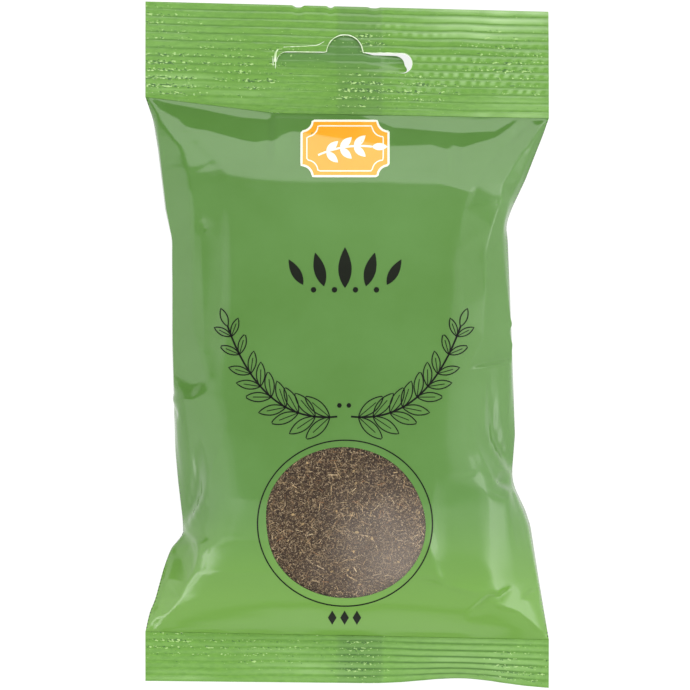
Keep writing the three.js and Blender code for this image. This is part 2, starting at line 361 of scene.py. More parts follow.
def readSheet(sheet, x, y):
    # smooth place of a point of the film, given where it is on the flat tube
    rows, columns = sheet.shape[0] - 3, sheet.shape[1] - 3
    u = np.clip(x / pouch["width"] + 0.5, 0, 1) * columns
    v = np.clip(y / pouch["filmLength"] + 0.5, 0, 1) * rows
    j = np.minimum(u.astype(int), columns - 1)
    i = np.minimum(v.astype(int), rows - 1)
    acrossWeights, upWeights = cubicWeights(u - j), cubicWeights(v - i)
    place = np.zeros((len(u), 3))
    for a in range(4):
        for b in range(4):
            place += (upWeights[:, a] * acrossWeights[:, b])[:, None] * sheet[i + a, j + b]
    return place


def sheetFrame(sheet, x, y, reach=0.5 * mm):
    along = readSheet(sheet, x + reach, y) - readSheet(sheet, x - reach, y)
    up = readSheet(sheet, x, y + reach) - readSheet(sheet, x, y - reach)
    along /= np.linalg.norm(along, axis=1)[:, None]
    normal = np.cross(along, up)
    normal /= np.linalg.norm(normal, axis=1)[:, None] + 1e-12
    return along, np.cross(normal, along), normal


def flatPlace(sheet, x, y):
    # where a spot seen from above is on the flat tube
    goal = np.stack([np.atleast_1d(x), np.atleast_1d(y)], 1).astype(float)
    guess = goal.copy()
    rounds, share = film["seek"]
    for _ in range(rounds):
        guess += share * (goal - readSheet(sheet, guess[:, 0], guess[:, 1])[:, :2])
    return guess


simulated = blowUp()
fitOutline(simulated)

# Soft creases of the front: points in mm, height of the ridge (or depth of the groove) and half width in mm
creases = [
    ([(-34.2, 29.5), (-33.4, 26.5)], -0.35, 1.0),
    ([(-34.2, 25.5), (-33.8, 12), (-33.4, -2)], 0.22, 1.4),
    ([(32.2, 25.2), (32.2, 10.6)], 0.25, 1.3),
    ([(-28, -17.6), (-32, -31), (-36.7, -43.5)], 0.25, 2.0),
    ([(16.2, -54.8), (27.1, -58.4)], -0.3, 1.6),
    ([(29, -20.7), (31.2, -26.5), (33.6, -31.6), (37.5, -34.5), (38.7, -31.6)], 0.5, 0.8),
    ([(34.8, -31.5), (37.3, -32.6)], -0.6, 1.2),
    ([(34.8, 33.6), (36, 33.3)], -0.4, 0.6),
    ([(34.2, -30.3), (36.2, -29.2), (38.2, -30)], 0.4, 0.7),
    ([(29.2, -62.8), (33.4, -59.2), (35.7, -59.6), (38.1, -57.3)], -0.75, 0.7),
    ([(35.5, -60.6), (40.4, -62.5), (44.6, -66.2), (46.6, -68.4)], 0.25, 0.4),
    ([(41.4, -59.6), (43.6, -57.6)], -0.5, 0.5),
    ([(-35.6, -51.6), (-36.9, -55.6), (-38.7, -59.1), (-40.6, -61.6), (-42.6, -63.8)], 0.65, 1.8),
]
creaseEdge = 0.18 * mm   # how round the crest of a crease is
creaseEnds = (0.03, 0.97)
unevenness = {"seed": 12, "layers": [(-0.16 * mm, 0.32 * mm, 11 * mm, 0),
                                     (-0.03 * mm, 0.06 * mm, 4.5 * mm, 0)]}


def nearLine(x, y, line):
    # distance to a bent line, and how far along it the nearest point is
    line = np.array(line) * mm
    pieces = np.linalg.norm(np.diff(line, axis=0), axis=1)
    total, done = pieces.sum(), 0
    nearest = np.full(x.shape, 1.0)
    share = np.zeros(x.shape)
    for (startX, startY), (wayX, wayY), length in zip(line, np.diff(line, axis=0), pieces):
        along = np.clip(((x - startX) * wayX + (y - startY) * wayY) / length**2, 0, 1)
        away = np.hypot(x - startX - along * wayX, y - startY - along * wayY)
        better = away < nearest
        nearest = np.where(better, away, nearest)
        share = np.where(better, (done + along * length) / total, share)
        done += length
    return nearest, share


def creaseHeight(x, y):
    height = np.zeros(x.shape)
    for line, lift, halfWidth in creases:
        away, share = nearLine(x, y, line)
        soft = np.hypot(away, creaseEdge) - creaseEdge
        taper = np.sqrt(np.sin(np.pi * np.clip(share, *creaseEnds)))
        height += lift * mm * np.exp(-soft / (halfWidth * mm)) * taper
    for look in unevenness["layers"]:
        height += uneven(look, x, y, unevenness["seed"])
    return height


# The front is pulled into three bands below the top crimp: their ends, across and down in mm, and slopes
topBands = {
    "shelf": ([(-47.5, 0), (-33, 1.4), (-25, 2.2), (-18.5, 1.9), (-16.7, 0), (3, 0), (10.8, 3.1), (25.8, 4),
               (34.8, 3.4), (39, 0.8), (47.5, 0)], 0.45),
    "steep": ([(-47.5, 1), (-44.8, 3), (-38.8, 7), (-38, 6.3), (-33, 6.1), (-24, 7.6), (-21.5, 7.7),
               (-19, 6.7), (-17.1, 6.8), (-15.4, 5.2), (-12.9, 4.2), (-9.3, 4.6), (0, 6), (10.2, 7.3),
               (19.8, 6.8), (23.6, 8), (24.8, 6.9), (27, 7.5), (34.8, 5.1), (36.9, 3.8), (40.2, 0.9),
               (47.5, 0.5)], 0.85),
    "slope": [(-47.5, 6), (-38, 12), (-33, 13.3), (-24, 12.2), (-12, 13.7), (8, 15.5), (20, 15.5),
              (24, 16.6), (34.8, 20), (47.5, 20)],
}
leastRise = 0.05 * mm


def bandedRise(x, y):
    # how much the bands change the rise of the front
    ways = pouch["settled"][-1][0] * mm
    share = downFromTop(x, y)
    way = share * ways
    (shelfLine, shelf), (steepLine, steep) = topBands["shelf"], topBands["steep"]
    shelfEnd, steepEnd, slopeEnd = (lineAt(line, x) for line in (shelfLine, steepLine, topBands["slope"]))
    plain = settledHeight(share) - pouch["rootHeight"]
    atSteep = shelf * shelfEnd + steep * (steepEnd - shelfEnd)
    atEnd = settledHeight(slopeEnd / ways) - pouch["rootHeight"]
    down = np.clip((way - steepEnd) / (slopeEnd - steepEnd), 0, 1)
    rise = shelf * np.minimum(way, shelfEnd) + steep * np.clip(way - shelfEnd, 0, steepEnd - shelfEnd)
    rise += (atEnd - atSteep) * down
    return np.where(way < slopeEnd, rise / np.maximum(plain, leastRise), 1)


# Sharp folds of the corners in mm: the edge of each folded area, and the fold lines in it with their heights
# (a point without one keeps the film's own)
folds = [
    # lower left: a pinch below the notch, with a dark face down to the corner
    {"rounding": 1, "fade": 0.6, "spacing": 100,
     "edge": [(-37.6, -43.6), (-39.4, -44.2), (-41.6, -47.4), (-43.2, -51), (-44.4, -55), (-45.9, -60),
              (-47.2, -64), (-48.2, -67.8), (-46.6, -66.9), (-41.7, -63), (-38.7, -59.1), (-36.9, -55.6),
              (-35.2, -52.8), (-34.6, -48), (-35.6, -45)],
     "lines": [[(-38.4, -44.8, 9.8), (-36.6, -46.6, 13.8), (-35.8, -48.6, 16), (-35.95, -52.6, 16.5)],
               [(-41.1, -47.9, 9.2), (-38.6, -50.2, 12.6), (-35.95, -52.6, 16.5)]]},
    # lower right: a broad shoulder that drops to the side
    {"rounding": 20, "fade": 3, "spacing": 100,
     "edge": [(20, -30), (31, -29), (38, -32), (44, -34), (46, -42), (47.5, -50), (48.5, -60), (40, -60),
              (30, -58.5), (22, -57), (19, -50), (19, -38)],
     "lines": [[(33.2, -34, 22.3), (33.2, -40, 22.1), (33.2, -44, 21.7), (33.4, -48, 21), (33.8, -52, 19.8),
                (34.4, -56.5, 18)],
               [(38, -35, 19.2), (38.4, -40, 18.9), (38.7, -44, 18.4), (38.9, -48, 17.7), (39.2, -52, 16.7),
                (39.6, -56.5, 15.1)]]},
    # lower right corner: a lit face over a crest that runs into the corner
    {"rounding": 1, "fade": 0.7, "spacing": 100,
     "edge": [(33.8, -61), (33.4, -58.6), (36, -57), (38.1, -55.8), (42, -54.8), (46.6, -54.8), (48, -62),
              (49, -70.4), (46.4, -70), (44, -67.6), (42, -65.4), (40, -63.9), (37.4, -62.8)],
     "lines": [[(35.6, -60.9, 16.2), (37.8, -61.6, 15), (40.4, -62.5, 13.5), (42.5, -64, 12.2),
                (44.6, -66.3, 10.6), (46.8, -68.7)],
               [(36, -58.4, 16.6), (38.1, -57.3, 15.8), (40, -57.2, 14.9), (42.4, -60, 13.1),
                (44.2, -63.4, 11.6), (46.2, -67.2, 9.6)]]},
    # upper right: a shoulder from the corner down to the waist
    {"rounding": 1, "fade": 1.4, "spacing": 100,
     "edge": [(49.4, 53.8), (47.4, 46), (44.4, 38.5), (41.2, 31.5), (40, 27), (39.8, 10), (40.8, -4),
              (28, -6), (26, 8), (25.6, 22), (27, 32), (29.6, 38), (33, 43), (37, 47.6), (43, 52.8)],
     "lines": [[(45.9, 51.8, 9.4), (41.7, 45.9, 11.7), (38.8, 41.5, 13.2), (36.7, 37.9, 14.5),
                (36, 33.7, 15.7), (34.2, 28, 16), (32.8, 22, 16.2), (32.3, 12, 16.6), (32, 2, 17)]]},
    # upper left: a shoulder from the corner down the side
    {"rounding": 2, "fade": 3.5, "spacing": 1.5,
     "edge": [(-52, 58.8), (-50, 53), (-49, 46), (-47, 32), (-46, 26), (-45.5, 4), (-45.2, -10), (-36, -14),
              (-29, -8), (-26, 10), (-26, 24), (-26, 36), (-28, 43), (-33, 48.6), (-38.6, 53.6),
              (-44.4, 57.6)],
     "lines": [[(-45, 55.4, 9.9), (-42.4, 51.2, 12.1), (-39.8, 47.5, 14), (-38.6, 45, 14.8),
                (-37.6, 41.2, 15.9), (-36.8, 35.4, 16.8), (-36.4, 29.6, 16.9), (-36.2, 23, 16.8),
                (-36, 14, 17), (-36, 4, 17.2)]]},
]


def withinEdge(x, y, edge):
    inside = np.zeros(x.shape, bool)
    for (startX, startY), (endX, endY) in zip(edge, np.roll(edge, -1, 0)):
        crossed = (startY > y) != (endY > y)
        inside ^= crossed & (x < startX + (y - startY) * (endX - startX) / (endY - startY + 1e-12))
    return inside


def closer(line, spacing):
    # more points along a line, no further apart than the spacing
    points = [line[0]]
    for first, second in zip(line, line[1:]):
        parts = math.ceil(math.dist(first[:2], second[:2]) / spacing)
        for part in range(1, parts):
            points.append(tuple(a + (b - a) * part / parts for a, b in zip(first, second)))
        points.append(second)
    return points


def foldedHeight(place, fold):
    # height of the flat faces between fold lines, and how far they replace the film's own
    x, y = place[:, 0], place[:, 1]
    around = fold["edge"] + fold["edge"][:1]
    edge = np.array(closer(around, fold["spacing"])[:-1]) * mm

    def ownHeight(across, up):
        return place[np.argmin(np.hypot(x - across, y - up)), 2]

    spots = [(*corner, ownHeight(*corner)) for corner in edge]
    links = [(i, (i + 1) % len(edge)) for i in range(len(edge))]
    for line in fold["lines"]:
        for step, point in enumerate(closer(line, fold["spacing"])):
            across, up = point[0] * mm, point[1] * mm
            spots.append((across, up, point[2] * mm if len(point) > 2 else ownHeight(across, up)))
            if step:
                links.append((len(spots) - 2, len(spots) - 1))
    flatSpots = [Vector(spot[:2]) for spot in spots]
    corners, _, faces, origins, _, _ = delaunay_2d_cdt(flatSpots, links, [], 0, 1e-6)
    heights = [spots[origin[0]][2] for origin in origins]
    height = place[:, 2].copy()
    for face in faces:
        (ax, ay), (bx, by), (cx, cy) = (corners[k] for k in face)
        area = (by - cy) * (ax - cx) + (cx - bx) * (ay - cy)
        first = ((by - cy) * (x - cx) + (cx - bx) * (y - cy)) / area
        second = ((cy - ay) * (x - cx) + (ax - cx) * (y - cy)) / area
        third = 1 - first - second
        held = np.minimum(np.minimum(first, second), third) > -1e-9
        level = first * heights[face[0]] + second * heights[face[1]] + third * heights[face[2]]
        height = np.where(held, level, height)
    away = nearLine(x, y, around)[0]
    return height, ease(away / (fold["fade"] * mm)) * withinEdge(x, y, edge)


def rounded(height):
    # softens the fold lines of a grid of heights
    wide = np.pad(height, 1, mode="edge")
    tall = (wide[:-2] + 2 * wide[1:-1] + wide[2:]) / 4
    return (tall[:, :-2] + 2 * tall[:, 1:-1] + tall[:, 2:]) / 4


def refine(sheet, creased):
    # the same sheet on a fine grid, with its creases pressed in
    columns, rows = (round(size / film["step"]) for size in (pouch["width"], pouch["filmLength"]))
    across = np.linspace(-0.5, 0.5, columns + 1) * pouch["width"]
    up = np.linspace(-0.5, 0.5, rows + 1) * pouch["filmLength"]
    x, y = (side.ravel() for side in np.meshgrid(across, up))
    rough = withMargin(sheet)
    place = readSheet(rough, x, y)
    if creased:
        fromRim = np.minimum(pouch["width"] / 2 - np.abs(x), pouch["filmLength"] / 2 - np.abs(y))
        held = ease(fromRim / film["rimFade"])
        lift = (place[:, 2] - pouch["rootHeight"]) * (bandedRise(place[:, 0], place[:, 1]) - 1)
        place[:, 2] += held * lift
        for fold in folds:
            height, share = foldedHeight(place, fold)
            share = share * held
            height = place[:, 2] + share * (height - place[:, 2])
            soft = height.reshape(rows + 1, columns + 1)
            for _ in range(fold["rounding"]):
                soft = rounded(soft)
            place[:, 2] = height + share * (soft.ravel() - height)
        place += sheetFrame(rough, x, y)[2] * (held * creaseHeight(place[:, 0], place[:, 1]))[:, None]
    return withMargin(place.reshape(rows + 1, columns + 1, 3))


frontSheet, backSheet = refine(simulated[0], True), refine(simulated[1], False)


def drape(piece, sheet, outward=1, lift=0.0):
    # lays a flat piece on the film: its own height stands along the film's normal
    flat = readPoints(piece)
    place = readSheet(sheet, flat[:, 0], flat[:, 1])
    normal = sheetFrame(sheet, flat[:, 0], flat[:, 1])[2] * outward
    writePoints(piece, place + normal * (flat[:, 2] + lift)[:, None])


# Window in the front of the tube
# fresh and worn are the pale tone of the pane's painted glare
window = {"centre": (-0.5, -41.7), "radius": 18.95 * mm, "lap": 0.4 * mm, "rings": 26, "sides": 96,
          "below": 0.04 * mm, "thickness": 0.06 * mm, "fresh": srgb(208, 193, 180),
          "worn": srgb(218, 205, 194), "patchSize": 60, "gloss": 0.6, "edgeReach": 1.2}
windowCentre = flatPlace(frontSheet, window["centre"][0] * mm, window["centre"][1] * mm)[0]


def fromWindow(points):
    way = points[:, :2] - windowCentre
    return way, np.linalg.norm(way, axis=1)


def cutWindow(front):
    # takes out the round hole, and draws its stepped edge onto a true circle
    radius = window["radius"]
    editAll(front, bpy.ops.mesh.select_mode, type="VERT")
    editAll(front, bpy.ops.mesh.select_all, action="DESELECT")
    for vertex, distance in zip(front.data.vertices, fromWindow(readPoints(front))[1]):
        vertex.select = bool(distance < radius - film["step"] / 2)
    bpy.ops.object.mode_set(mode="EDIT")
    bpy.ops.mesh.delete(type="VERT")
    bpy.ops.object.mode_set(mode="OBJECT")
    points = readPoints(front)
    way, away = fromWindow(points)
    edgeUse = {}
    for face in front.data.polygons:
        for edge in face.edge_keys:
            edgeUse[edge] = edgeUse.get(edge, 0) + 1
    ends = {v for edge, uses in edgeUse.items() if uses == 1 for v in edge}
    hole = np.array(sorted(v for v in ends if away[v] < window["edgeReach"] * radius))
    points[hole, :2] = windowCentre + way[hole] * (radius / away[hole])[:, None]
    writePoints(front, points)


def makeFilmTube(material):
    size = (pouch["width"], pouch["filmLength"])
    front = flatGrid("film_tube", *size, (film["step"], film["step"]))
    cutWindow(front)
    back = flatGrid("film_back", *size, (film["step"], film["backStep"]))
    drape(front, frontSheet)
    drape(back, backSheet)
    tube = addBack(front, back)
    editAll(tube, bpy.ops.mesh.remove_doubles, threshold=film["weld"])
    smooth(tube, film["sharp"])
    tube.data.materials.append(material)
    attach(tube, "root")
    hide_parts("front_film", "back_film")
    print("film tube made")
    return tube


def setInputs(tree, node, inputs):
    # each input takes a value, or the output of another node
    for key, value in inputs.items():
        if isinstance(value, bpy.types.NodeSocket):
            tree.links.new(value, node.inputs[key])
        else:
            node.inputs[key].default_value = value


def addNode(tree, kind, inputs, **settings):
    node = tree.nodes.new("ShaderNode" + kind)
    for key, value in settings.items():
        setattr(node, key, value)
    setInputs(tree, node, inputs)
    return node


def objectPlace(tree):
    return addNode(tree, "TexCoord", {}).outputs["Object"]


def newGroup(name, inputs, outputs):
    # an empty node group with its sockets, and the nodes where they begin and end
    group = bpy.data.node_groups.new(name, "ShaderNodeTree")
    for inOut, sockets in (("INPUT", inputs), ("OUTPUT", outputs)):
        for socket, kind in sockets.items():
            group.interface.new_socket(socket, in_out=inOut, socket_type="NodeSocket" + kind)
    return group, group.nodes.new("NodeGroupInput"), group.nodes.new("NodeGroupOutput")


def newMaterial(name):
    material = bpy.data.materials.new(name)
    material.use_nodes = True
    return material, material.node_tree, material.node_tree.nodes["Principled BSDF"]


# Tone of the laminate: broad unevenness of the ink and a fine skin
laminate = {"patchDetail": 9, "patchBreak": 0.6, "worn": (0.3, 0.7), "rough": (0.13, 0.2),
            "skinScale": 1400, "skinDetail": 2, "skinBump": 0.05, "skinHeight": 0.2 * mm}


def makeFilmTone():
    group, given, out = newGroup("filmTone", {"Ink": "Color", "Worn Ink": "Color", "Patch Size": "Float"},
                                 {"Color": "Color", "Roughness": "Float", "Height": "Float"})
    place = objectPlace(group)
    cloud = addNode(group, "TexNoise", {
        "Vector": place, "Scale": given.outputs["Patch Size"], "Detail": laminate["patchDetail"],
        "Roughness": laminate["patchBreak"]}).outputs["Fac"]
    worn = addNode(group, "MapRange", {
        "Value": cloud, "From Min": laminate["worn"][0], "From Max": laminate["worn"][1], "To Max": 1})
    colour = addNode(group, "Mix", {
        "Factor": worn.outputs["Result"], "A": given.outputs["Ink"], "B": given.outputs["Worn Ink"]},
        data_type="RGBA")
    rough = addNode(group, "MapRange", {
        "Value": cloud, "To Min": laminate["rough"][0], "To Max": laminate["rough"][1]})
    skin = addNode(group, "TexNoise", {
        "Vector": place, "Scale": laminate["skinScale"], "Detail": laminate["skinDetail"]})
    setInputs(group, out, {"Color": colour.outputs["Result"], "Roughness": rough.outputs["Result"],
                           "Height": skin.outputs["Fac"]})
    return group


# Painted glints on the crimped ends: light grains, each with a painted shadow at one side, thick where the
# mask is high
flecking = {"edge": (0.8, 0.5), "soft": 0.05, "stretch": (0.5, 1, 1), "detail": 1.5, "fineness": 2700,
            "Pale": (0, 0, 0), "Dark": (0.3 * mm, -0.4 * mm, 0)}


def makeFlecks():
    group, given, out = newGroup("glintGrains", {"Amount": "Float", "Fineness": "Float"},
                                 {"Pale": "Float", "Dark": "Float"})
    place = objectPlace(group)
    edge = addNode(group, "MapRange", {
        "Value": given.outputs["Amount"], "To Min": flecking["edge"][0],
        "To Max": flecking["edge"][1]}).outputs["Result"]
    end = addNode(group, "Math", {0: edge, 1: flecking["soft"]}).outputs["Value"]
    for name in ("Pale", "Dark"):
        moved = addNode(group, "VectorMath", {0: place, 1: flecking["stretch"], 2: flecking[name]},
                        operation="MULTIPLY_ADD")
        grain = addNode(group, "TexNoise", {
            "Vector": moved.outputs["Vector"], "Scale": given.outputs["Fineness"],
            "Detail": flecking["detail"]})
        shown = addNode(group, "MapRange", {"Value": grain.outputs["Fac"], "From Min": edge,
                                            "From Max": end})
        setInputs(group, out, {name: shown.outputs["Result"]})
    return group


# Streaks along the crimped ridges
streaking = {"stretch": (0.4, 1, 0.4), "scale": 1200, "detail": 5, "break": 0.65, "shown": (0.4, 0.75),
             "most": 0.8}


def makeStreaks():
    group, _, out = newGroup("crimpStreaks", {}, {"Amount": "Float"})
    drawn = addNode(group, "VectorMath", {0: objectPlace(group), 1: streaking["stretch"]},
                    operation="MULTIPLY")
    noise = addNode(group, "TexNoise", {
        "Vector": drawn.outputs["Vector"], "Scale": streaking["scale"], "Detail": streaking["detail"],
        "Roughness": streaking["break"]})
    shown = addNode(group, "MapRange", {
        "Value": noise.outputs["Fac"], "From Min": streaking["shown"][0], "From Max": streaking["shown"][1],
        "To Max": streaking["most"]})
    setInputs(group, out, {"Amount": shown.outputs["Result"]})
    return group


filmTone, glintGrains, crimpStreaks = makeFilmTone(), makeFlecks(), makeStreaks()

# Inks of the printed film, and the colours of the painted light and shade laid over them: the lighter low
# green, the valley shade, the crest sheen and the glints with their shadows
ink = {"green": srgb(75, 117, 47), "wornGreen": srgb(85, 127, 62), "lowLitGreen": srgb(101, 145, 60),
       "sealGreen": srgb(98, 144, 55), "wornSeal": srgb(104, 150, 65), "streak": srgb(82, 127, 48),
       "valley": srgb(56, 96, 34), "finShade": srgb(86, 126, 60), "paintedSheen": srgb(146, 182, 118),
       "paintedGlint": srgb(160, 193, 122), "paintedGlintShadow": srgb(66, 103, 50), "flapShade": srgb(76, 118, 56),
       "cutEdge": srgb(226, 236, 214), "wornEdge": srgb(164, 196, 132),
       "black": srgb(22, 24, 20), "wornBlack": srgb(32, 36, 28), "orange": srgb(232, 152, 22),
       "wornOrange": srgb(236, 164, 46), "cream": srgb(240, 240, 228), "wornCream": srgb(228, 232, 212)}
# painted light: the green of the lower slope is painted lighter towards the bottom
paintedLowLight = {"from": -34 * mm, "to": -64 * mm}   # the green turns lighter towards the bottom
# masks of the crimped ends and the colours they lay: the darker band over the fin, painted shade in the
# valleys, painted sheen on the crests and the flap's shade
crimpShades = {"overFin": "finShade", "valley": "valley", "paintedSheen": "paintedSheen", "flapShade": "flapShade"}


def laidOver(tree, colour, amount, shade):
    # lays a second colour over the first by a mask
    mix = addNode(tree, "Mix", {"Factor": amount, "A": colour, "B": shade}, data_type="RGBA")
    return mix.outputs["Result"]


def meshMark(tree, name):
    return addNode(tree, "Attribute", {}, attribute_name=name).outputs["Fac"]


# paints light onto the film: the green is laid lighter towards the bottom of the packet
def paintLowLight(tree, colour):
    up = addNode(tree, "SeparateXYZ", {"Vector": objectPlace(tree)}).outputs["Y"]
    lower = addNode(tree, "MapRange", {"Value": up, "From Min": paintedLowLight["from"], "From Max": paintedLowLight["to"]},
                    interpolation_type="SMOOTHSTEP")
    return laidOver(tree, colour, lower.outputs["Result"], ink["lowLitGreen"])


# lays the streaks, the fin band, painted valley shade, painted crest sheen, the flap's shade and painted
# glints with their shadows onto the crimped film
def crimpTonesAndLight(tree, colour):
    streaks = addNode(tree, "Group", {}, node_tree=crimpStreaks)
    colour = laidOver(tree, colour, streaks.outputs["Amount"], ink["streak"])
    for mark, shade in crimpShades.items():
        colour = laidOver(tree, colour, meshMark(tree, mark), ink[shade])
    flecks = addNode(tree, "Group", {"Amount": meshMark(tree, "glintMask"), "Fineness": flecking["fineness"]},
                     node_tree=glintGrains)
    for side, shade in (("Pale", "paintedGlint"), ("Dark", "paintedGlintShadow")):
        colour = laidOver(tree, colour, flecks.outputs[side], ink[shade])
    return colour


def filmMaterial(name, fresh, worn, finish=None, patchSize=28, gloss=0.5):
    material, tree, shader = newMaterial(name)
    tone = addNode(tree, "Group", {"Ink": ink[fresh], "Worn Ink": ink[worn], "Patch Size": patchSize},
                   node_tree=filmTone)
    colour = tone.outputs["Color"]
    if finish:
        colour = finish(tree, colour)
    bump = addNode(tree, "Bump", {"Strength": laminate["skinBump"], "Distance": laminate["skinHeight"],
                                  "Height": tone.outputs["Height"]})
    setInputs(tree, shader, {"Base Color": colour, "Roughness": tone.outputs["Roughness"],
                             "Normal": bump.outputs["Normal"], "Specular IOR Level": gloss})
    return material


printedFilm = filmMaterial("printedFilm", "green", "wornGreen", paintLowLight)
crimpedFilm = filmMaterial("crimpedFilm", "sealGreen", "wornSeal", crimpTonesAndLight)
cutFilm = filmMaterial("cutFilm", "cutEdge", "wornEdge", patchSize=420)
blackInk = filmMaterial("blackInk", "black", "wornBlack", gloss=0.08)
orangeInk = filmMaterial("orangeInk", "orange", "wornOrange")
creamInk = filmMaterial("creamInk", "cream", "wornCream")
makeFilmTube(printedFilm)


# Clear film of the window, lapped under the printed film, and a pale painted glare on it that is strongest
# around one spot
paintedGlare = {"centre": (11.5 * mm, -48.5 * mm, 21 * mm), "core": 4 * mm, "reach": 31 * mm, "cloud": 140,
        "uneven": 12 * mm, "least": 0.014, "most": 0.115}


def clearFilm():
    material, tree, shader = newMaterial("clearFilm")
    tone = addNode(tree, "Group", {"Ink": window["fresh"], "Worn Ink": window["worn"],
                                   "Patch Size": window["patchSize"]}, node_tree=filmTone)
    place = objectPlace(tree)
    # the pane's pale tone shows through its alpha as painted glare: faint all over and strongest around one
    # spot
    away = addNode(tree, "VectorMath", {0: place, 1: paintedGlare["centre"]}, operation="DISTANCE")
    cloud = addNode(tree, "TexNoise", {"Vector": place, "Scale": paintedGlare["cloud"]})
    wavering = addNode(tree, "Math", {0: cloud.outputs["Fac"], 1: paintedGlare["uneven"], 2: away.outputs["Value"]},
                       operation="MULTIPLY_ADD")
    glare = addNode(tree, "MapRange", {
        "Value": wavering.outputs["Value"], "From Min": paintedGlare["reach"], "From Max": paintedGlare["core"],
        "To Min": paintedGlare["least"], "To Max": paintedGlare["most"]}, interpolation_type="SMOOTHSTEP")
    setInputs(tree, shader, {"Base Color": tone.outputs["Color"], "Roughness": tone.outputs["Roughness"],
                             "Alpha": glare.outputs["Result"], "Specular IOR Level": window["gloss"]})
    return material


def makeWindow():
    radius = window["radius"] + window["lap"]
    deselectAll()
    bpy.ops.mesh.primitive_circle_add(
        vertices=window["sides"], radius=radius, fill_type="NGON", location=(*windowCentre, 0))
    pane = bpy.context.object
    pane.name = pane.data.name = "window_pane"
    bpy.ops.object.transform_apply()
    bpy.ops.object.mode_set(mode="EDIT")
    for _ in range(window["rings"]):
        bpy.ops.mesh.inset(thickness=radius / (window["rings"] + 1))
    bpy.ops.mesh.poke()
    bpy.ops.object.mode_set(mode="OBJECT")
    drape(pane, frontSheet, lift=-window["below"])
    applyModifier(pane, "SOLIDIFY", thickness=window["thickness"], offset=-1)
    smooth(pane)
    pane.data.materials.append(clearFilm())
    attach(pane, "root")
    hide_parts("window_film")
    print("window set in")


makeWindow()


# Print on the front: plain leaf ornaments, drawn in mm as seen from above
printed = {
    "lift": 0.05 * mm, "thickness": 0.04 * mm, "sharp": 60, "cell": 0.7, "leastCells": 8, "look": 0.01,
    "ring": {"radii": (20.4, 19.5), "width": 0.28},
    "plaque": {"centre": (-0.5, 46.1), "size": (20.4, 13.2), "scoop": 2.6, "border": 0.5, "line": 0.28,
               "inset": 1.25},
    # pairs by points along the stem, which bends through three heights
    "sprig": {"length": 12.6, "bend": (-1.6, 1.2, 0.4), "leaf": (3.7, 1.7), "pairs": (6, 16, 26),
              "angle": 0.75, "stem": 0.45},
    "fan": {"centre": (-0.5, 13.4), "leaf": (9.4, 3.1), "leaves": 5, "spread": 4.9, "lean": 0.26,
            "rise": 0.35, "shrink": 0.14, "dot": 1.3, "dotDrop": 0.5},
    # the stem and a leaf's vein as shares of the line and the leaf
    "sprays": {"centre": (-0.7, -5.2), "stem": [(1.6, -11.5), (19, -13.5), (27.2, 9.5)], "pairs": 9,
               "leaf": (7.6, 2.7), "shrink": 0.45, "angle": 0.72, "line": 0.26, "stemShare": 1.6,
               "veinShare": 0.7, "berry": 1.1, "berryPlace": (-0.5, 2.6), "ends": (2, 3)},
    "diamonds": {"centre": (-0.6, -64), "size": (2.0, 3.4), "gap": 2.9, "count": 3},
}


def stroke(path, width, shape=None):
    # a ribbon along a path, with its width shaped along its length
    path = np.array(path, float)
    steps = np.linalg.norm(np.diff(path, axis=0), axis=1)
    reach = np.concatenate([[0], np.cumsum(steps)])
    total, cell = reach[-1], printed["cell"]
    cells = (min(cell, total / printed["leastCells"]), 1 / max(2, round(width / cell)))
    strip = flatGrid("stroke", total, 1, cells)
    flat = readPoints(strip)
    share = np.clip(flat[:, 0] / total + 0.5, 0, 1)

    def onPath(part):
        way = np.clip(part, 0, 1) * total
        return np.stack([np.interp(way, reach, path[:, k]) for k in (0, 1)], 1)

    ahead = onPath(share + printed["look"]) - onPath(share - printed["look"])
    forward = ahead / np.linalg.norm(ahead, axis=1)[:, None]
    across = flat[:, 1] * width * (shape(share) if shape else 1)
    flat[:, :2] = onPath(share) + np.stack([-forward[:, 1], forward[:, 0]], 1) * across[:, None]
    flat[:, 2] = 0
    writePoints(strip, flat * mm)
    return strip


def leafShape(share):
    # pointed at both ends and fuller near the base
    return np.sin(np.pi * np.clip(share, 0.004, 0.996)) ** 0.8 * (1.15 - 0.3 * share)


def diamondShape(share):
    return np.maximum(1 - np.abs(2 * share - 1), 0.02)


def dotShape(share):
    return np.sqrt(np.maximum(1 - (2 * share - 1) ** 2, 0.0004))


def straight(start, angle, length):
    return [start, (start[0] + length * math.sin(angle), start[1] + length * math.cos(angle))]


def dot(centre, size):
    return stroke([(centre[0] - size / 2, centre[1]), (centre[0] + size / 2, centre[1])], size, dotShape)


def oval(centre, radii, sides=120):
    turns = np.linspace(0, 2 * np.pi, sides + 1)
    return [(centre[0] + radii[0] * np.cos(t), centre[1] + radii[1] * np.sin(t)) for t in turns]


def leafOutline(start, angle, length, width):
    # both edges of a leaf from base to tip and back
    share = np.linspace(0, 1, 13)
    half = width / 2 * np.sin(np.pi * share) ** 0.8
    along = np.concatenate([share, share[::-1]]) * length
    side = np.concatenate([half, -half[::-1]])
    sin, cos = math.sin(angle), math.cos(angle)
    return [(start[0] + a * sin + b * cos, start[1] + a * cos - b * sin) for a, b in zip(along, side)]


def curved(points, count=40):
    # a smooth bend through a start, a pull point and an end
    start, pull, end = (np.array(point, float) for point in points)
    share = np.linspace(0, 1, count)[:, None]
    return (1 - share) ** 2 * start + 2 * share * (1 - share) * pull + share**2 * end


def plaqueShape(size, scoop):
    # width of a ticket with scooped corners, along its length
    def shape(share):
        fromEnd = np.minimum(share, 1 - share) * size[0]
        bite = np.sqrt(np.maximum(scoop**2 - fromEnd**2, 0))
        return 1 - 2 * bite / size[1]
    return shape


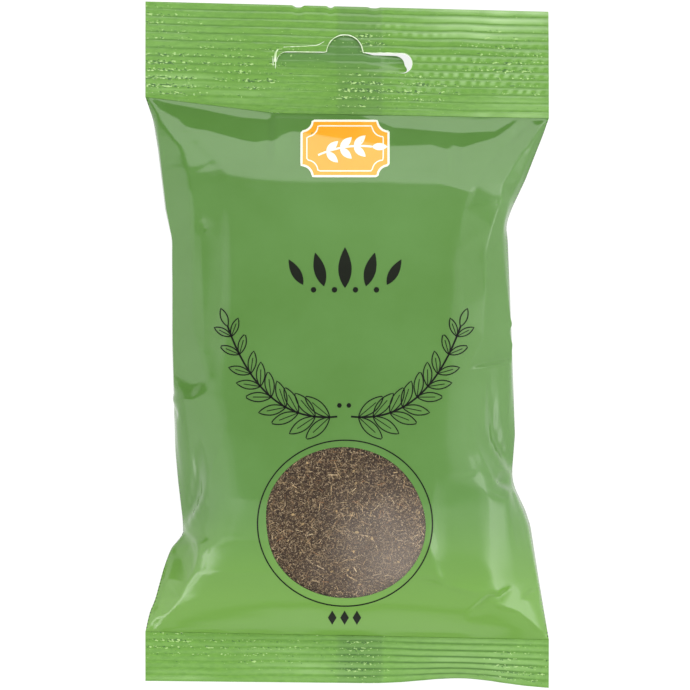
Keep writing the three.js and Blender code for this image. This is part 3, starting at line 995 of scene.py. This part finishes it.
def plaqueLine(size, scoop, centre, count=10):
    corners = []
    for signX, signY, begin in ((1, 1, 1.5), (-1, 1, 0), (-1, -1, 0.5), (1, -1, 1)):
        for turn in np.linspace(begin, begin - 0.5, count) * np.pi:
            corners.append((centre[0] + signX * size[0] / 2 + scoop * math.cos(turn),
                            centre[1] + signY * size[1] / 2 + scoop * math.sin(turn)))
    return corners + corners[:1]


def plaqueStrokes():
    plaque, sprig = printed["plaque"], printed["sprig"]
    (x, y), size, scoop = plaque["centre"], plaque["size"], plaque["scoop"]
    fill = [stroke([(x - size[0] / 2, y), (x + size[0] / 2, y)], size[1], plaqueShape(size, scoop))]
    inner = [side - 2 * plaque["inset"] for side in size]
    cream = [stroke(plaqueLine(size, scoop, (x, y)), plaque["border"]),
             stroke(plaqueLine(inner, scoop, (x, y)), plaque["line"])]
    stops = (x - sprig["length"] / 2, x, x + sprig["length"] / 2)
    stem = curved([(stop, y + bend) for stop, bend in zip(stops, sprig["bend"])])
    cream.append(stroke(stem, sprig["stem"]))
    leaves = [(stem[spot], side * sprig["angle"]) for spot in sprig["pairs"] for side in (-1, 1)]
    for base, turn in leaves + [(stem[-1], 0)]:
        leaf = straight(base, math.pi / 2 - turn, sprig["leaf"][0])
        cream.append(stroke(leaf, sprig["leaf"][1], leafShape))
    return fill, cream


def fanStrokes():
    fan, strokes = printed["fan"], []
    x, y = fan["centre"]
    for place in range(fan["leaves"]):
        step = place - (fan["leaves"] - 1) / 2
        base = (x + step * fan["spread"], y + fan["rise"] * abs(step))
        length, width = (side * (1 - fan["shrink"] * abs(step)) for side in fan["leaf"])
        strokes.append(stroke(straight(base, step * fan["lean"], length), width, leafShape))
        if step > 0:
            for side in (-1, 1):
                spot = (x + side * (step - 0.5) * fan["spread"], y - fan["dotDrop"])
                strokes.append(dot(spot, fan["dot"]))
    return strokes


def sprayStrokes(side):
    sprays = printed["sprays"]
    line, vein, (first, last) = sprays["line"], sprays["veinShare"], sprays["ends"]
    spots = [(sprays["centre"][0] + side * x, sprays["centre"][1] + y) for x, y in sprays["stem"]]
    stem = curved(spots)
    strokes = [stroke(stem, sprays["stemShare"] * line)]
    for pair in range(sprays["pairs"]):
        spot = first + round(pair * (len(stem) - first - last) / (sprays["pairs"] - 1))
        ahead = stem[spot + 1] - stem[spot]
        heading = math.atan2(ahead[0], ahead[1])
        length, width = (part * (1 - sprays["shrink"] * pair / sprays["pairs"]) for part in sprays["leaf"])
        for turn in (-1, 1):
            angle = heading + turn * sprays["angle"]
            strokes.append(stroke(leafOutline(stem[spot], angle, length, width), line))
            strokes.append(stroke(straight(stem[spot], angle, vein * length), vein * line))
    strokes.append(stroke(leafOutline(stem[-1], heading, length, width), line))
    across, up = sprays["berryPlace"]
    strokes.append(dot((spots[0][0] + side * across, spots[0][1] + up), sprays["berry"]))
    return strokes


def diamondStrokes():
    diamonds, strokes = printed["diamonds"], []
    width, height = diamonds["size"]
    for place in range(diamonds["count"]):
        x = diamonds["centre"][0] + (place - (diamonds["count"] - 1) / 2) * diamonds["gap"]
        y = diamonds["centre"][1]
        strokes.append(stroke([(x, y - height / 2), (x, y + height / 2)], width, diamondShape))
    return strokes


def blackStrokes():
    ring = stroke(oval(window["centre"], printed["ring"]["radii"]), printed["ring"]["width"])
    return [ring] + fanStrokes() + sprayStrokes(-1) + sprayStrokes(1) + diamondStrokes()


def layPrint(name, strokes, material, lift):
    sheet = joinPieces(*strokes)
    sheet.name = sheet.data.name = name
    points = readPoints(sheet)
    points[:, :2] = flatPlace(frontSheet, points[:, 0], points[:, 1])
    writePoints(sheet, points)
    drape(sheet, frontSheet, lift=lift)
    applyModifier(sheet, "SOLIDIFY", thickness=printed["thickness"], offset=0)
    smooth(sheet, printed["sharp"])
    sheet.data.materials.append(material)
    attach(sheet, "root")


plaqueFill, plaqueCream = plaqueStrokes()
layPrint("print_orange", plaqueFill, orangeInk, printed["lift"])
layPrint("print_cream", plaqueCream, creamInk, 2 * printed["lift"])
layPrint("print_black", blackStrokes(), blackInk, printed["lift"])
print("front printed")


# Crimped ends, pressed in ridges by toothed jaws
topSeal = {
    "name": "top_crimp", "node": "top_seal", "root": pouch["topRoot"],
    "edge": [(-47.5, 80.9), (47.5, 78.6)], "pitch": 1.85 * mm, "firstRidge": 2.5 * mm,
    "step": (0.32 * mm, 0.17 * mm), "length": 24 * mm, "droop": (0.6 * mm, 3.4 * mm), "curl": None,
    "seed": 5, "row": -1, "faint": [(-30, 28, 6, 9, 0.4)],
    "nicks": [(-11.5, 0.5, 1.1), (-3.9, 0.4, 0.7), (6.3, 0.25, 1.2)],
    # patches by middle and reach, across in mm and in ridges from the cut edge, and strength
    "bites": [(24, 10, 5, 0.6, 0.8), (28, 14, 6, 0.5, 0.5), (31, 16, 7, 0.5, 1), (30, 14, 8, 0.5, 0.75),
              (18, 9, 9, 0.5, 0.5), (41, 6, 9, 0.5, 0.9), (17, 7, 2, 0.5, 0.6), (10, 5, 1, 0.5, 0.5),
              (42, 5, 4, 1.5, 0.4), (42, 6, 6, 2, 0.5)],
    # the next patches place painted sheen on the crests, painted shade in the valleys and painted glints
    # with their shadows
    "paintedSheen": [(36, 15, 0, 0.6, 0.9), (33, 13, 1, 0.6, 0.85), (32, 11, 2, 0.6, 0.8),
                 (38, 18, -1.2, 0.7, 0.7), (40, 12, 10.6, 0.8, 0.5), (36, 16, 12, 0.7, 0.5),
                 (-40, 9, 8.4, 0.7, 0.5), (-41, 7, 9.4, 0.6, 0.6), (-36, 16, 3, 4, 0.14),
                 (-26, 9, 10, 1.5, 0.25)],
    "shadedValleys": [(-30, 22, 3, 5, 0.5), (30, 22, 4, 9, 0.35), (4, 9, 6, 7, 0.5)],
    "glintPatches": [(-41, 12, 9, 2.2, 0.95), (-42, 12, 6.5, 2.4, 0.85), (-43, 10, 1.5, 3, 0.75),
             (-22, 6, 8.6, 1.6, 0.85), (3, 10, 9.2, 3, 0.92), (4, 7, 3, 1.8, 0.88),
             (-18.5, 3, 8, 1.6, 0.85), (-28, 26, 6.5, 5, 0.66), (16, 14, 9, 3, 0.72), (38, 16, 5, 6, 0.66)],
}
bottomSeal = {
    "name": "bottom_crimp", "node": "bottom_seal", "root": pouch["bottomRoot"],
    "edge": [(-47.5, -79.1), (0, -79.6), (47.5, -80.9)], "pitch": 1.66 * mm, "firstRidge": 0.9 * mm,
    "step": (0.4 * mm, 0.17 * mm), "length": 12 * mm, "droop": (0.4 * mm, 0.4 * mm),
    "curl": {"x": 27 * mm, "reach": 13 * mm, "dip": 4 * mm, "shortening": 0.15}, "seed": 8, "row": 0,
    "nicks": [], "faint": [(-26, 28, 3, 7, 0.7)], "bites": [],
    # the next patches place painted sheen on the crests, painted shade in the valleys and painted glints
    # with their shadows
    "paintedSheen": [(30, 17, 3, 4, 0.42), (-10, 12, 1.5, 1.5, 0.35), (-40, 7, 0, 1, 0.3),
                 (-16, 12, 4, 1, 0.2)],
    "shadedValleys": [(26, 16, 2.5, 3.4, 1.3), (3, 7, 3, 4, 0.9)],
    "glintPatches": [(3, 8, 3, 5, 0.82), (-41, 10, 5, 2.4, 0.85), (40, 11, 2, 5, 0.72), (-22, 24, 4.5, 4, 0.62)],
}
# Fin seal down the back, which also thickens both crimped ends
fin = {"left": -2.8 * mm, "right": 8.7 * mm, "step": (0.5 * mm, 0.9 * mm), "thickness": 0.2 * mm,
       "rib": 0.05 * mm, "ribPitch": 1.6 * mm, "gap": 0.03 * mm, "slopes": (1.2 * mm, 0.8 * mm),
       "lift": 0.12 * mm, "shade": 0.5}
crimp = {
    # valley, valleyShade, crest, flank, toothShine and shine shape the painted valley shade, crest sheen,
    # glints and tooth highlights
    "ridge": 0.22 * mm, "thickness": 0.22 * mm, "sharp": 50, "ends": (0.03, 0.02), "nickFrom": 0.85,
    "tooth": 0.09 * mm, "toothPitch": 2.36 * mm, "toothSize": (0.6 * mm, 0.42 * mm), "toothStep": 0.37,
    "toothShine": 0.8, "slant": 0.55, "slantFrom": 26 * mm, "slantOver": 12 * mm,
    "valley": 0.28, "valleyShade": 0.06, "crest": 0.66, "flank": (0.72, 0.42, 0.3), "rowGap": 3 * mm,
    # uneven looks: least, range, size of the patches and seed step
    "wander": (-0.08, 0.16, 9 * mm, 3), "jitter": (-0.125, 0.25, 2.9 * mm, 4),
    "pressed": (0.5, 0.5, 14 * mm, 0), "wobble": (-0.05 * mm, 0.1 * mm, 2.6 * mm, 1),
    "patchy": (0.7, 0.6, 2.2 * mm, 2), "shine": (0.55, 0.9, 4.5 * mm, 5),
}


def sealShare(seal, x, y):
    root = lineAt(seal["root"], x)
    return (y - root) / (lineAt(seal["edge"], x) - root)


def patches(places, x, turn):
    # soft patches on a crimped end
    total = np.zeros(len(x))
    for middleX, reachX, middle, reach, strength in places:
        away = ((x / mm - middleX) / reachX) ** 2 + ((turn - middle) / reach) ** 2
        total = np.maximum(total, strength * np.exp(-away))
    return total


def overFin(x):
    return ease((x - fin["left"]) / fin["slopes"][0]) * ease((fin["right"] - x) / fin["slopes"][1])


def sealSurface(seal, x, share):
    # where a point of a crimped end lies, and its marks, painted shade and light among them: share runs from
    # root to cut edge
    pitch, seed, curl = seal["pitch"], seal["seed"], seal["curl"]
    root, edge = lineAt(seal["root"], x), lineAt(seal["edge"], x)
    turn = (np.abs(edge - root) * (1 - share) - seal["firstRidge"]) / pitch
    atEdge = ease((share - crimp["nickFrom"]) / (1 - crimp["nickFrom"]))
    for middle, depth, reach in seal["nicks"]:
        edge = edge - depth * mm * np.exp(-(((x / mm - middle) / reach) ** 4)) * atEdge
    drop = np.interp(x, [-pouch["width"] / 2, pouch["width"] / 2], seal["droop"]) * share**2
    reach = share
    if curl:
        near = np.exp(-(((x - curl["x"]) / curl["reach"]) ** 2))
        reach = share * (1 - curl["shortening"] * near * share)
        drop = drop + curl["dip"] * near * share**2
    y = root + (edge - root) * reach
    turn = turn + uneven(crimp["wander"], x, y, seed)
    row = np.round(turn)
    fromCrest = 2 * (turn - row)
    slant = crimp["slant"] * ease((x - crimp["slantFrom"]) / crimp["slantOver"])
    slanted = x + slant * pitch * (turn - row)
    jitter = uneven(crimp["jitter"], slanted, row * mm, seed)
    toothTurn = (slanted / crimp["toothPitch"] + crimp["toothStep"] * row + jitter) % 1 - 0.5
    toothX = toothTurn * crimp["toothPitch"] / crimp["toothSize"][0]
    toothY = fromCrest * pitch / 2 / crimp["toothSize"][1]
    tooth = np.exp(-(toothX**4) - toothY**4) * patches(seal["bites"], x, turn)
    pressed = uneven(crimp["pressed"], x, y, seed) * (1 - patches(seal["faint"], x, turn))
    relief = crimp["ridge"] * (0.5 - fromCrest**2) * pressed + crimp["tooth"] * tooth
    ends = ease(share / crimp["ends"][0]) * ease((1 - share) / crimp["ends"][1])
    level = simulated[0][seal["row"], :, 2].mean() - drop + fin["lift"] * overFin(x)
    z = level + ends * (relief + uneven(crimp["wobble"], x, y, seed))
    # patchy strength of the painted sheen and the painted valley shade along the rows
    shine = uneven(crimp["shine"], x, row * crimp["rowGap"], seed)
    valley = np.exp(-(((1 - np.abs(fromCrest)) / crimp["valley"]) ** 2)) * ends
    crest = np.exp(-((fromCrest / crimp["crest"]) ** 6))
    middle, swing, shift = crimp["flank"]
    flank = middle + swing * np.cos(2 * math.pi * (turn - row - shift))
    # where the painted glints and their painted shadows go, stronger on one flank of each ridge
    glintMask = patches(seal["glintPatches"], x, turn) * uneven(crimp["patchy"], x, y, seed) * flank
    # painted shade in the valleys between the ridges, patchy along each row
    shadedValleys = np.clip((crimp["valleyShade"] + patches(seal["shadedValleys"], x, turn)) * shine, 0, 1) * valley
    # painted sheen on the crests, and painted highlights on the tooth bumps
    paintedSheen = crest * patches(seal["paintedSheen"], x, turn) * shine + crimp["toothShine"] * tooth
    marks = {"glintMask": glintMask, "overFin": fin["shade"] * overFin(x), "valley": shadedValleys,
             "paintedSheen": np.clip(paintedSheen, 0, 1)}
    return y, z, marks


def markMesh(piece, marks):
    for name, amount in marks.items():
        attribute = piece.data.attributes.new(name, "FLOAT", "POINT")
        attribute.data.foreach_set("value", amount.astype(np.float32))


def makeSeal(seal):
    strip = flatGrid(seal["name"], pouch["width"], seal["length"], seal["step"])
    flat = readPoints(strip)
    x = flat[:, 0]
    share = np.clip(flat[:, 1] / seal["length"] + 0.5, 0, 1)
    if seal["row"] == 0:
        share = 1 - share
    y, z, marks = sealSurface(seal, x, share)
    writePoints(strip, np.stack([x, y, z], 1))
    markMesh(strip, marks)
    applyModifier(strip, "SOLIDIFY", thickness=crimp["thickness"], offset=0)
    strip.data.materials.append(crimpedFilm)
    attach(strip, "root")
    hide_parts(seal["node"])
    return strip


# Hang slot, and its flap that still holds along the lower edge
slot = {"centre": (-0.6 * mm, 66.5 * mm), "length": 32 * mm, "height": 4.8 * mm, "humpRadius": 4.3 * mm,
        "humpRise": 2.3 * mm, "turn": -0.012, "arcPoints": 15, "cutterHeight": 30 * mm}
flap = {"left": -0.15 * mm, "right": 1.9 * mm, "top": 0.12 * mm, "step": 0.35 * mm, "thickness": 0.16 * mm,
        "tilt": 0.05, "sideCurl": 1.3 * mm, "curlOver": 3 * mm, "pulled": 0.11, "pulledOver": 2 * mm,
        "heel": 1.5 * mm, "heelFrom": 8 * mm, "heelOver": 4 * mm, "heelTall": 2.4 * mm, "shade": 0.85,
        "shadeOver": 4.2 * mm}
# Pale cut edge: its part of the slot's points, and torn lips by points from the slot's middle and width, mm
slotRim = {"part": slice(4, -7), "width": 0.24, "lift": 0.06 * mm, "thickness": 0.1 * mm, "sharp": 60,
           "seed": 17, "frays": 64, "fray": (0.45, 1.3), "tip": 0.02,
           "tears": [([(-14.4, 3.5), (-9.5, 3.75), (-6.4, 4), (-4.9, 4.9)], 0.22),
                     ([(-15.7, 3), (-16.3, 2), (-16.5, 0)], 0.4),
                     ([(-16, 2.4), (-16.2, 0.8), (-16.3, -1.6)], 0.22),
                     ([(-16.9, 1.2), (-16.8, -1)], 0.16)]}


def slotOutline(left=0.0, right=0.0, top=0.0):
    half = slot["height"] / 2
    ends = (-slot["length"] / 2 + left + half, slot["length"] / 2 - right - half)
    start = math.asin((half - slot["humpRise"]) / slot["humpRadius"])
    arcs = [(ends[1], 0, half, -math.pi / 2, math.pi / 2),
            (0, slot["humpRise"], slot["humpRadius"], start, math.pi - start),
            (ends[0], 0, half, math.pi / 2, 1.5 * math.pi)]
    line = []
    for centreX, centreY, radius, begin, end in arcs:
        for angle in np.linspace(begin, end, slot["arcPoints"]):
            y = centreY + radius * math.sin(angle)
            line.append((centreX + radius * math.cos(angle), y - top * max(0, math.sin(angle))))
    return line


def turnedSlot(line):
    cos, sin = math.cos(slot["turn"]), math.sin(slot["turn"])
    return [(slot["centre"][0] + x * cos - y * sin, slot["centre"][1] + x * sin + y * cos) for x, y in line]


def slotPrism(name, line, low, high):
    cutter = bpy.data.objects.new(name, bpy.data.meshes.new(name))
    bpy.context.scene.collection.objects.link(cutter)
    corners = [(x, y, low) for x, y in turnedSlot(line)]
    cutter.data.from_pydata(corners, [], [range(len(corners))])
    editAll(cutter, bpy.ops.mesh.extrude_region_move, TRANSFORM_OT_translate={"value": (0, 0, high - low)})
    editAll(cutter, bpy.ops.mesh.normals_make_consistent, inside=False)
    return cutter


def cutWith(piece, cutter, operation):
    applyModifier(piece, "BOOLEAN", object=cutter, operation=operation, solver="EXACT")
    bpy.data.objects.remove(cutter)


def makeFlap():
    rise = slot["height"] / 2 + slot["humpRise"] + slot["humpRadius"]
    sheet = flatGrid("slot_flap", slot["length"], 2 * rise, (flap["step"], flap["step"]), slot["centre"])
    applyModifier(sheet, "SOLIDIFY", thickness=flap["thickness"], offset=0)
    line = slotOutline(flap["left"], flap["right"], flap["top"])
    cutWith(sheet, slotPrism("flapCutter", line, -mm, mm), "INTERSECT")
    points = readPoints(sheet)
    x, middle, hinge = points[:, 0], slot["centre"][0], slot["centre"][1] - slot["height"] / 2
    up = np.clip(points[:, 1] - hinge, 0, None)
    _, level, marks = sealSurface(topSeal, x, sealShare(topSeal, x, points[:, 1]))
    towardsRight = ease((x - middle) / (slot["length"] / 2))
    points[:, 2] += level - up * flap["tilt"] * (1 + towardsRight)
    points[:, 2] -= flap["sideCurl"] * towardsRight**3 * ease(up / flap["curlOver"])
    atEnd = ease((x - middle - flap["heelFrom"]) / flap["heelOver"])
    points[:, 0] += flap["heel"] * atEnd * (1 - ease(up / flap["heelTall"]))
    points[:, 1] -= flap["pulled"] * up * ease((x - middle - slot["humpRadius"]) / flap["pulledOver"])
    writePoints(sheet, points)
    marks["flapShade"] = flap["shade"] * ease(up / flap["shadeOver"])
    markMesh(sheet, marks)
    smooth(sheet, crimp["sharp"])
    sheet.data.materials.append(crimpedFilm)
    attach(sheet, "root")


def makeRim():
    # the pale cut edge round the slot, with torn lips beside it
    count, tip = slotRim["frays"], slotRim["tip"]
    fray = np.random.default_rng(slotRim["seed"]).uniform(*slotRim["fray"], count)

    def frayed(share):
        ends = np.sqrt(dotShape(tip + (1 - 2 * tip) * share))
        return np.interp(share, np.linspace(0, 1, count), fray) * ends

    lines = [(slotOutline()[slotRim["part"]], slotRim["width"])]
    lines += [([(x * mm, y * mm) for x, y in tear], width) for tear, width in slotRim["tears"]]
    lines = [([(x / mm, y / mm) for x, y in turnedSlot(line)], width) for line, width in lines]
    edge = joinPieces(*(stroke(line, width, frayed) for line, width in lines))
    edge.name = edge.data.name = "slot_rim"
    points = readPoints(edge)
    share = sealShare(topSeal, points[:, 0], points[:, 1])
    points[:, 2] = sealSurface(topSeal, points[:, 0], share)[1] + crimp["thickness"] / 2 + slotRim["lift"]
    writePoints(edge, points)
    applyModifier(edge, "SOLIDIFY", thickness=slotRim["thickness"], offset=0)
    smooth(edge, slotRim["sharp"])
    edge.data.materials.append(cutFilm)
    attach(edge, "root")


upperCrimp = makeSeal(topSeal)
cutWith(upperCrimp, slotPrism("slotCutter", slotOutline(), 0, slot["cutterHeight"]), "DIFFERENCE")
lowerCrimp = makeSeal(bottomSeal)
for piece in (upperCrimp, lowerCrimp):
    smooth(piece, crimp["sharp"])
makeFlap()
makeRim()
print("crimped ends and slot made")


def makeFin():
    width, middle = fin["right"] - fin["left"], (fin["left"] + fin["right"]) / 2
    strip = flatGrid("fin_strip", width, pouch["filmLength"], fin["step"], (middle, 0))
    points = readPoints(strip)
    points[:, 2] = fin["rib"] * (0.5 + 0.5 * np.cos(points[:, 0] / fin["ribPitch"] * 2 * np.pi))
    writePoints(strip, points)
    drape(strip, backSheet, outward=-1, lift=fin["gap"])
    applyModifier(strip, "SOLIDIFY", thickness=fin["thickness"], offset=-1)
    smooth(strip)
    strip.data.materials.append(printedFilm)
    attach(strip, "root")
    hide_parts("fin_seal")
    print("fin laid on the back")


makeFin()


# Rubbed thyme: a settled bed, with crumbs, leaf bits and stalks pressed to the window
thyme = {
    "seed": 41, "bedStep": 1.6 * mm, "bedHalf": 39 * mm, "bedFrom": -61 * mm, "bedTo": 40 * mm,
    "bedDepth": 1.1 * mm, "underGap": 0.6 * mm, "bedShare": 0.3, "bedGrain": (0.875, 0.25, 1.7 * mm, 0),
    "reach": 19.6 * mm, "depth": (0.1 * mm, 0.8 * mm), "filmGap": 0.1 * mm, "bend": 0.25,
    "pitch": 0.3, "roll": 0.5, "stretch": (0.75, 1.25), "shade": (0.75, 1.2), "bedTone": srgb(56, 41, 28),
    "roughness": 0.85, "gloss": 0.25, "mottleScale": 2500, "mottle": (0.7, 1.3),
    # kind, count, shortest and longest
    "bits": [("crumb", 13000, 0.2 * mm, 0.45 * mm), ("leaf", 9500, 0.35 * mm, 1.0 * mm),
             ("sliver", 800, 0.5 * mm, 2.2 * mm), ("chip", 24, 0.6 * mm, 1.3 * mm)],
    # sides round each kind of bit, rings along it, and its proportions
    "forms": {"crumb": (3, 2, (1, 0.7, 0.5)), "leaf": (4, 2, (1, 0.3, 0.18)),
              "chip": (7, 4, (1, 0.75, 0.3)), "sliver": (3, 0, (1, 1, 0.7))},
    "sliverRadius": 0.055,
}
thymeTones = {
    "crumb": [srgb(54, 38, 24), srgb(87, 67, 45), srgb(119, 97, 71), srgb(150, 127, 96),
              srgb(175, 154, 120), srgb(52, 36, 22)],
    "leaf": [srgb(58, 42, 26), srgb(92, 71, 49), srgb(129, 108, 79), srgb(152, 132, 101), srgb(105, 87, 57),
             srgb(54, 39, 24)],
    "sliver": [srgb(199, 172, 126), srgb(208, 185, 145), srgb(179, 149, 106), srgb(150, 109, 70)],
    "chip": [srgb(191, 163, 113), srgb(176, 147, 96)],
}


def bitShape(kind):
    # one small bit around the origin, one unit long
    deselectAll()
    sides, rings, scale = thyme["forms"][kind]
    onSide = (0, math.pi / 2, 0)
    if kind == "sliver":
        bpy.ops.mesh.primitive_cylinder_add(
            vertices=sides, radius=thyme["sliverRadius"], depth=1, rotation=onSide)
    else:
        bpy.ops.mesh.primitive_uv_sphere_add(segments=sides, ring_count=rings, radius=0.5, rotation=onSide)
    bit = bpy.context.object
    bpy.ops.object.transform_apply()
    points = readPoints(bit) * scale
    points[:, 2] -= thyme["bend"] * points[:, 0] ** 2
    bit.data.calc_loop_triangles()
    faces = np.array([t.vertices for t in bit.data.loop_triangles])
    bpy.data.objects.remove(bit)
    return points, faces


def scatterBits(kind, count, shortest, longest, rng):
    points, faces = bitShape(kind)
    tones = np.array(thymeTones[kind])
    radius = thyme["reach"] * np.sqrt(rng.random(count))
    angle = 2 * np.pi * rng.random(count)
    x, y = windowCentre[0] + radius * np.cos(angle), windowCentre[1] + radius * np.sin(angle)
    place = readSheet(frontSheet, x, y)
    along, up, normal = sheetFrame(frontSheet, x, y)
    length = shortest + (longest - shortest) * rng.random(count) ** 2
    shallow, deep = thyme["depth"]
    depth = shallow + (deep - shallow) * rng.random(count)
    yaw = 2 * np.pi * rng.random(count)
    pitch = rng.normal(0, thyme["pitch"], count)
    roll = rng.normal(0, thyme["roll"], count)
    local = np.repeat(points[None], count, 0) * length[:, None, None]
    local *= rng.uniform(*thyme["stretch"], (count, 1, 3))
    for a, b, turn in ((1, 2, roll), (0, 2, pitch), (0, 1, yaw)):
        cos, sin = np.cos(turn)[:, None], np.sin(turn)[:, None]
        first = local[..., a] * cos - local[..., b] * sin
        local[..., b] = local[..., a] * sin + local[..., b] * cos
        local[..., a] = first
    # the top of each bit stays under the film
    depth = np.maximum(depth, local[..., 2].max(1) + thyme["filmGap"])
    world = (place - normal * depth[:, None])[:, None]
    for k, way in enumerate((along, up, normal)):
        world = world + local[..., k:k + 1] * way[:, None]
    shade = tones[rng.integers(0, len(tones), count)] * rng.uniform(*thyme["shade"], (count, 1))
    allFaces = (faces[None] + len(points) * np.arange(count)[:, None, None]).reshape(-1, 3)
    return world.reshape(-1, 3), allFaces, np.repeat(shade, len(points), 0)


def makeThymeBed():
    size = (2 * thyme["bedHalf"], thyme["bedTo"] - thyme["bedFrom"])
    centre = (0, (thyme["bedFrom"] + thyme["bedTo"]) / 2)
    step = (thyme["bedStep"], thyme["bedStep"])
    bed, under = (flatGrid(name, *size, step, centre) for name in ("thyme", "thymeUnder"))
    x, y, _ = readPoints(bed).T
    top, bottom = readSheet(frontSheet, x, y), readSheet(backSheet, x, y)
    thickness = (top - bottom)[:, 2]
    depth = np.minimum(thyme["bedDepth"], thyme["bedShare"] * thickness) / thickness
    grain = uneven(thyme["bedGrain"], x, y, thyme["seed"])
    lift = np.minimum(thyme["underGap"] / thickness, thyme["bedShare"])
    writePoints(bed, top + (bottom - top) * (depth * grain)[:, None])
    writePoints(under, bottom + (top - bottom) * lift[:, None])
    addBack(bed, under)
    bpy.ops.object.mode_set(mode="EDIT")
    bpy.ops.mesh.select_mode(type="EDGE")
    bpy.ops.mesh.select_all(action="DESELECT")
    bpy.ops.mesh.select_non_manifold()
    bpy.ops.mesh.bridge_edge_loops()
    bpy.ops.object.mode_set(mode="OBJECT")
    return bed


def toneMesh(piece, shades):
    shades = np.clip(shades, 0, 1)
    shades[:, 3] = 1
    attribute = piece.data.attributes.new("tone", "FLOAT_COLOR", "POINT")
    attribute.data.foreach_set("color", shades.astype(np.float32).ravel())


def driedThyme():
    material, tree, shader = newMaterial("driedThyme")
    noise = addNode(tree, "TexNoise", {"Vector": objectPlace(tree), "Scale": thyme["mottleScale"]})
    strength = addNode(tree, "MapRange", {
        "Value": noise.outputs["Fac"], "To Min": thyme["mottle"][0], "To Max": thyme["mottle"][1]})
    tone = addNode(tree, "Attribute", {}, attribute_name="tone")
    mix = addNode(tree, "Mix", {"Factor": 1, "A": tone.outputs["Color"], "B": strength.outputs["Result"]},
                  data_type="RGBA", blend_type="MULTIPLY")
    setInputs(tree, shader, {"Base Color": mix.outputs["Result"], "Roughness": thyme["roughness"],
                             "Specular IOR Level": thyme["gloss"]})
    return material


def makeThyme():
    rng = np.random.default_rng(thyme["seed"])
    bed = makeThymeBed()
    points, faces, tones, start = [], [], [], 0
    for bit in thyme["bits"]:
        bitPoints, bitFaces, bitTones = scatterBits(*bit, rng)
        points.append(bitPoints)
        faces.append(bitFaces + start)
        tones.append(bitTones)
        start += len(bitPoints)
    bits = bpy.data.objects.new("thymeBits", bpy.data.meshes.new("thymeBits"))
    bpy.context.scene.collection.objects.link(bits)
    bits.data.from_pydata(np.concatenate(points), [], np.concatenate(faces))
    toneMesh(bits, np.concatenate(tones))
    toneMesh(bed, np.tile(thyme["bedTone"], (len(bed.data.vertices), 1)))
    joinPieces(bed, bits)
    bed.data.materials.append(driedThyme())
    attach(bed, "root")
    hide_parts("thyme_fill")
    print("thyme filled in:", len(bed.data.polygons), "faces")


makeThyme()


# Table and light
studio = {
    "floorSize": 6,
    "floorTone": (0.2, 0.2, 0.2, 1),
    "floorGlow": 0.85,
    "world": (0.17, 0.17, 0.17, 1),
    # turned to and away from straight up in degrees, distance, width, length, brightness
    "softboxes": [
        ("overhead", 90, 0, 2.6, 2.6, 2.6, 0.46),
        ("top", 82, 47, 1.25, 2.9, 0.7, 2.9),
        ("topRight", 52, 80, 1.25, 1.25, 0.6, 0.8),
        ("bottom", 270, 64, 1.25, 1.5, 0.7, 2.2),
        ("foot", 270, 46, 1.25, 2.2, 1.9, 0.7),
        ("left", 191, 58, 1.25, 1.0, 1.6, 1.2),
        ("leftEdge", 191, 63, 1.25, 1.0, 1.3, 0.5),
        ("right", 0, 58, 1.25, 1.8, 1.6, 1.35),
        ("lowRight", 335, 56, 1.25, 0.85, 0.4, 2.9),
        ("lowRightEdge", 335, 56, 1.25, 1.1, 0.8, 0.9),
        ("lowLeft", 216, 71, 1.25, 0.45, 0.58, 4),
        ("lowLeftFoot", 229, 54, 1.25, 0.5, 0.28, 4),
    ],
    "unseen": ["bottom"],   # lights the film without a mirror image in it
    "mirrored": ["foot", "topRight", "leftEdge", "lowRightEdge"],   # seen in the film without lighting it
}


def makeStudio():
    deselectAll()
    bpy.ops.mesh.primitive_plane_add(size=studio["floorSize"], location=(0, 0, 0))
    floor = bpy.context.object
    floor.name = "floor"
    material, tree, shader = newMaterial("paleFloor")
    setInputs(tree, shader, {"Base Color": studio["floorTone"], "Roughness": 1,
                             "Emission Color": (1, 1, 1, 1), "Emission Strength": studio["floorGlow"]})
    floor.data.materials.append(material)
    for name, turned, away, distance, width, length, brightness in studio["softboxes"]:
        turn, lean = math.radians(turned), math.radians(away)
        place = Vector((math.cos(turn) * math.sin(lean), math.sin(turn) * math.sin(lean), math.cos(lean)))
        bpy.ops.object.light_add(type="AREA", location=place * distance)
        lamp = bpy.context.object
        lamp.name = name + "Softbox"
        lamp.data.shape = "RECTANGLE"
        lamp.data.size, lamp.data.size_y = width, length
        lamp.data.energy = brightness * math.pi * width * length
        lamp.rotation_euler = (0, lean, turn)
        lamp.rotation_euler.rotate_axis("Z", math.pi / 2)
        lamp.visible_glossy = name not in studio["unseen"]
        lamp.visible_diffuse = name not in studio["mirrored"]
    world = bpy.data.worlds.new("studio")
    world.use_nodes = True
    world.node_tree.nodes["Background"].inputs["Color"].default_value = studio["world"]
    bpy.context.scene.world = world
    bpy.context.scene.view_settings.view_transform = "Standard"
    print("studio set")


makeStudio()
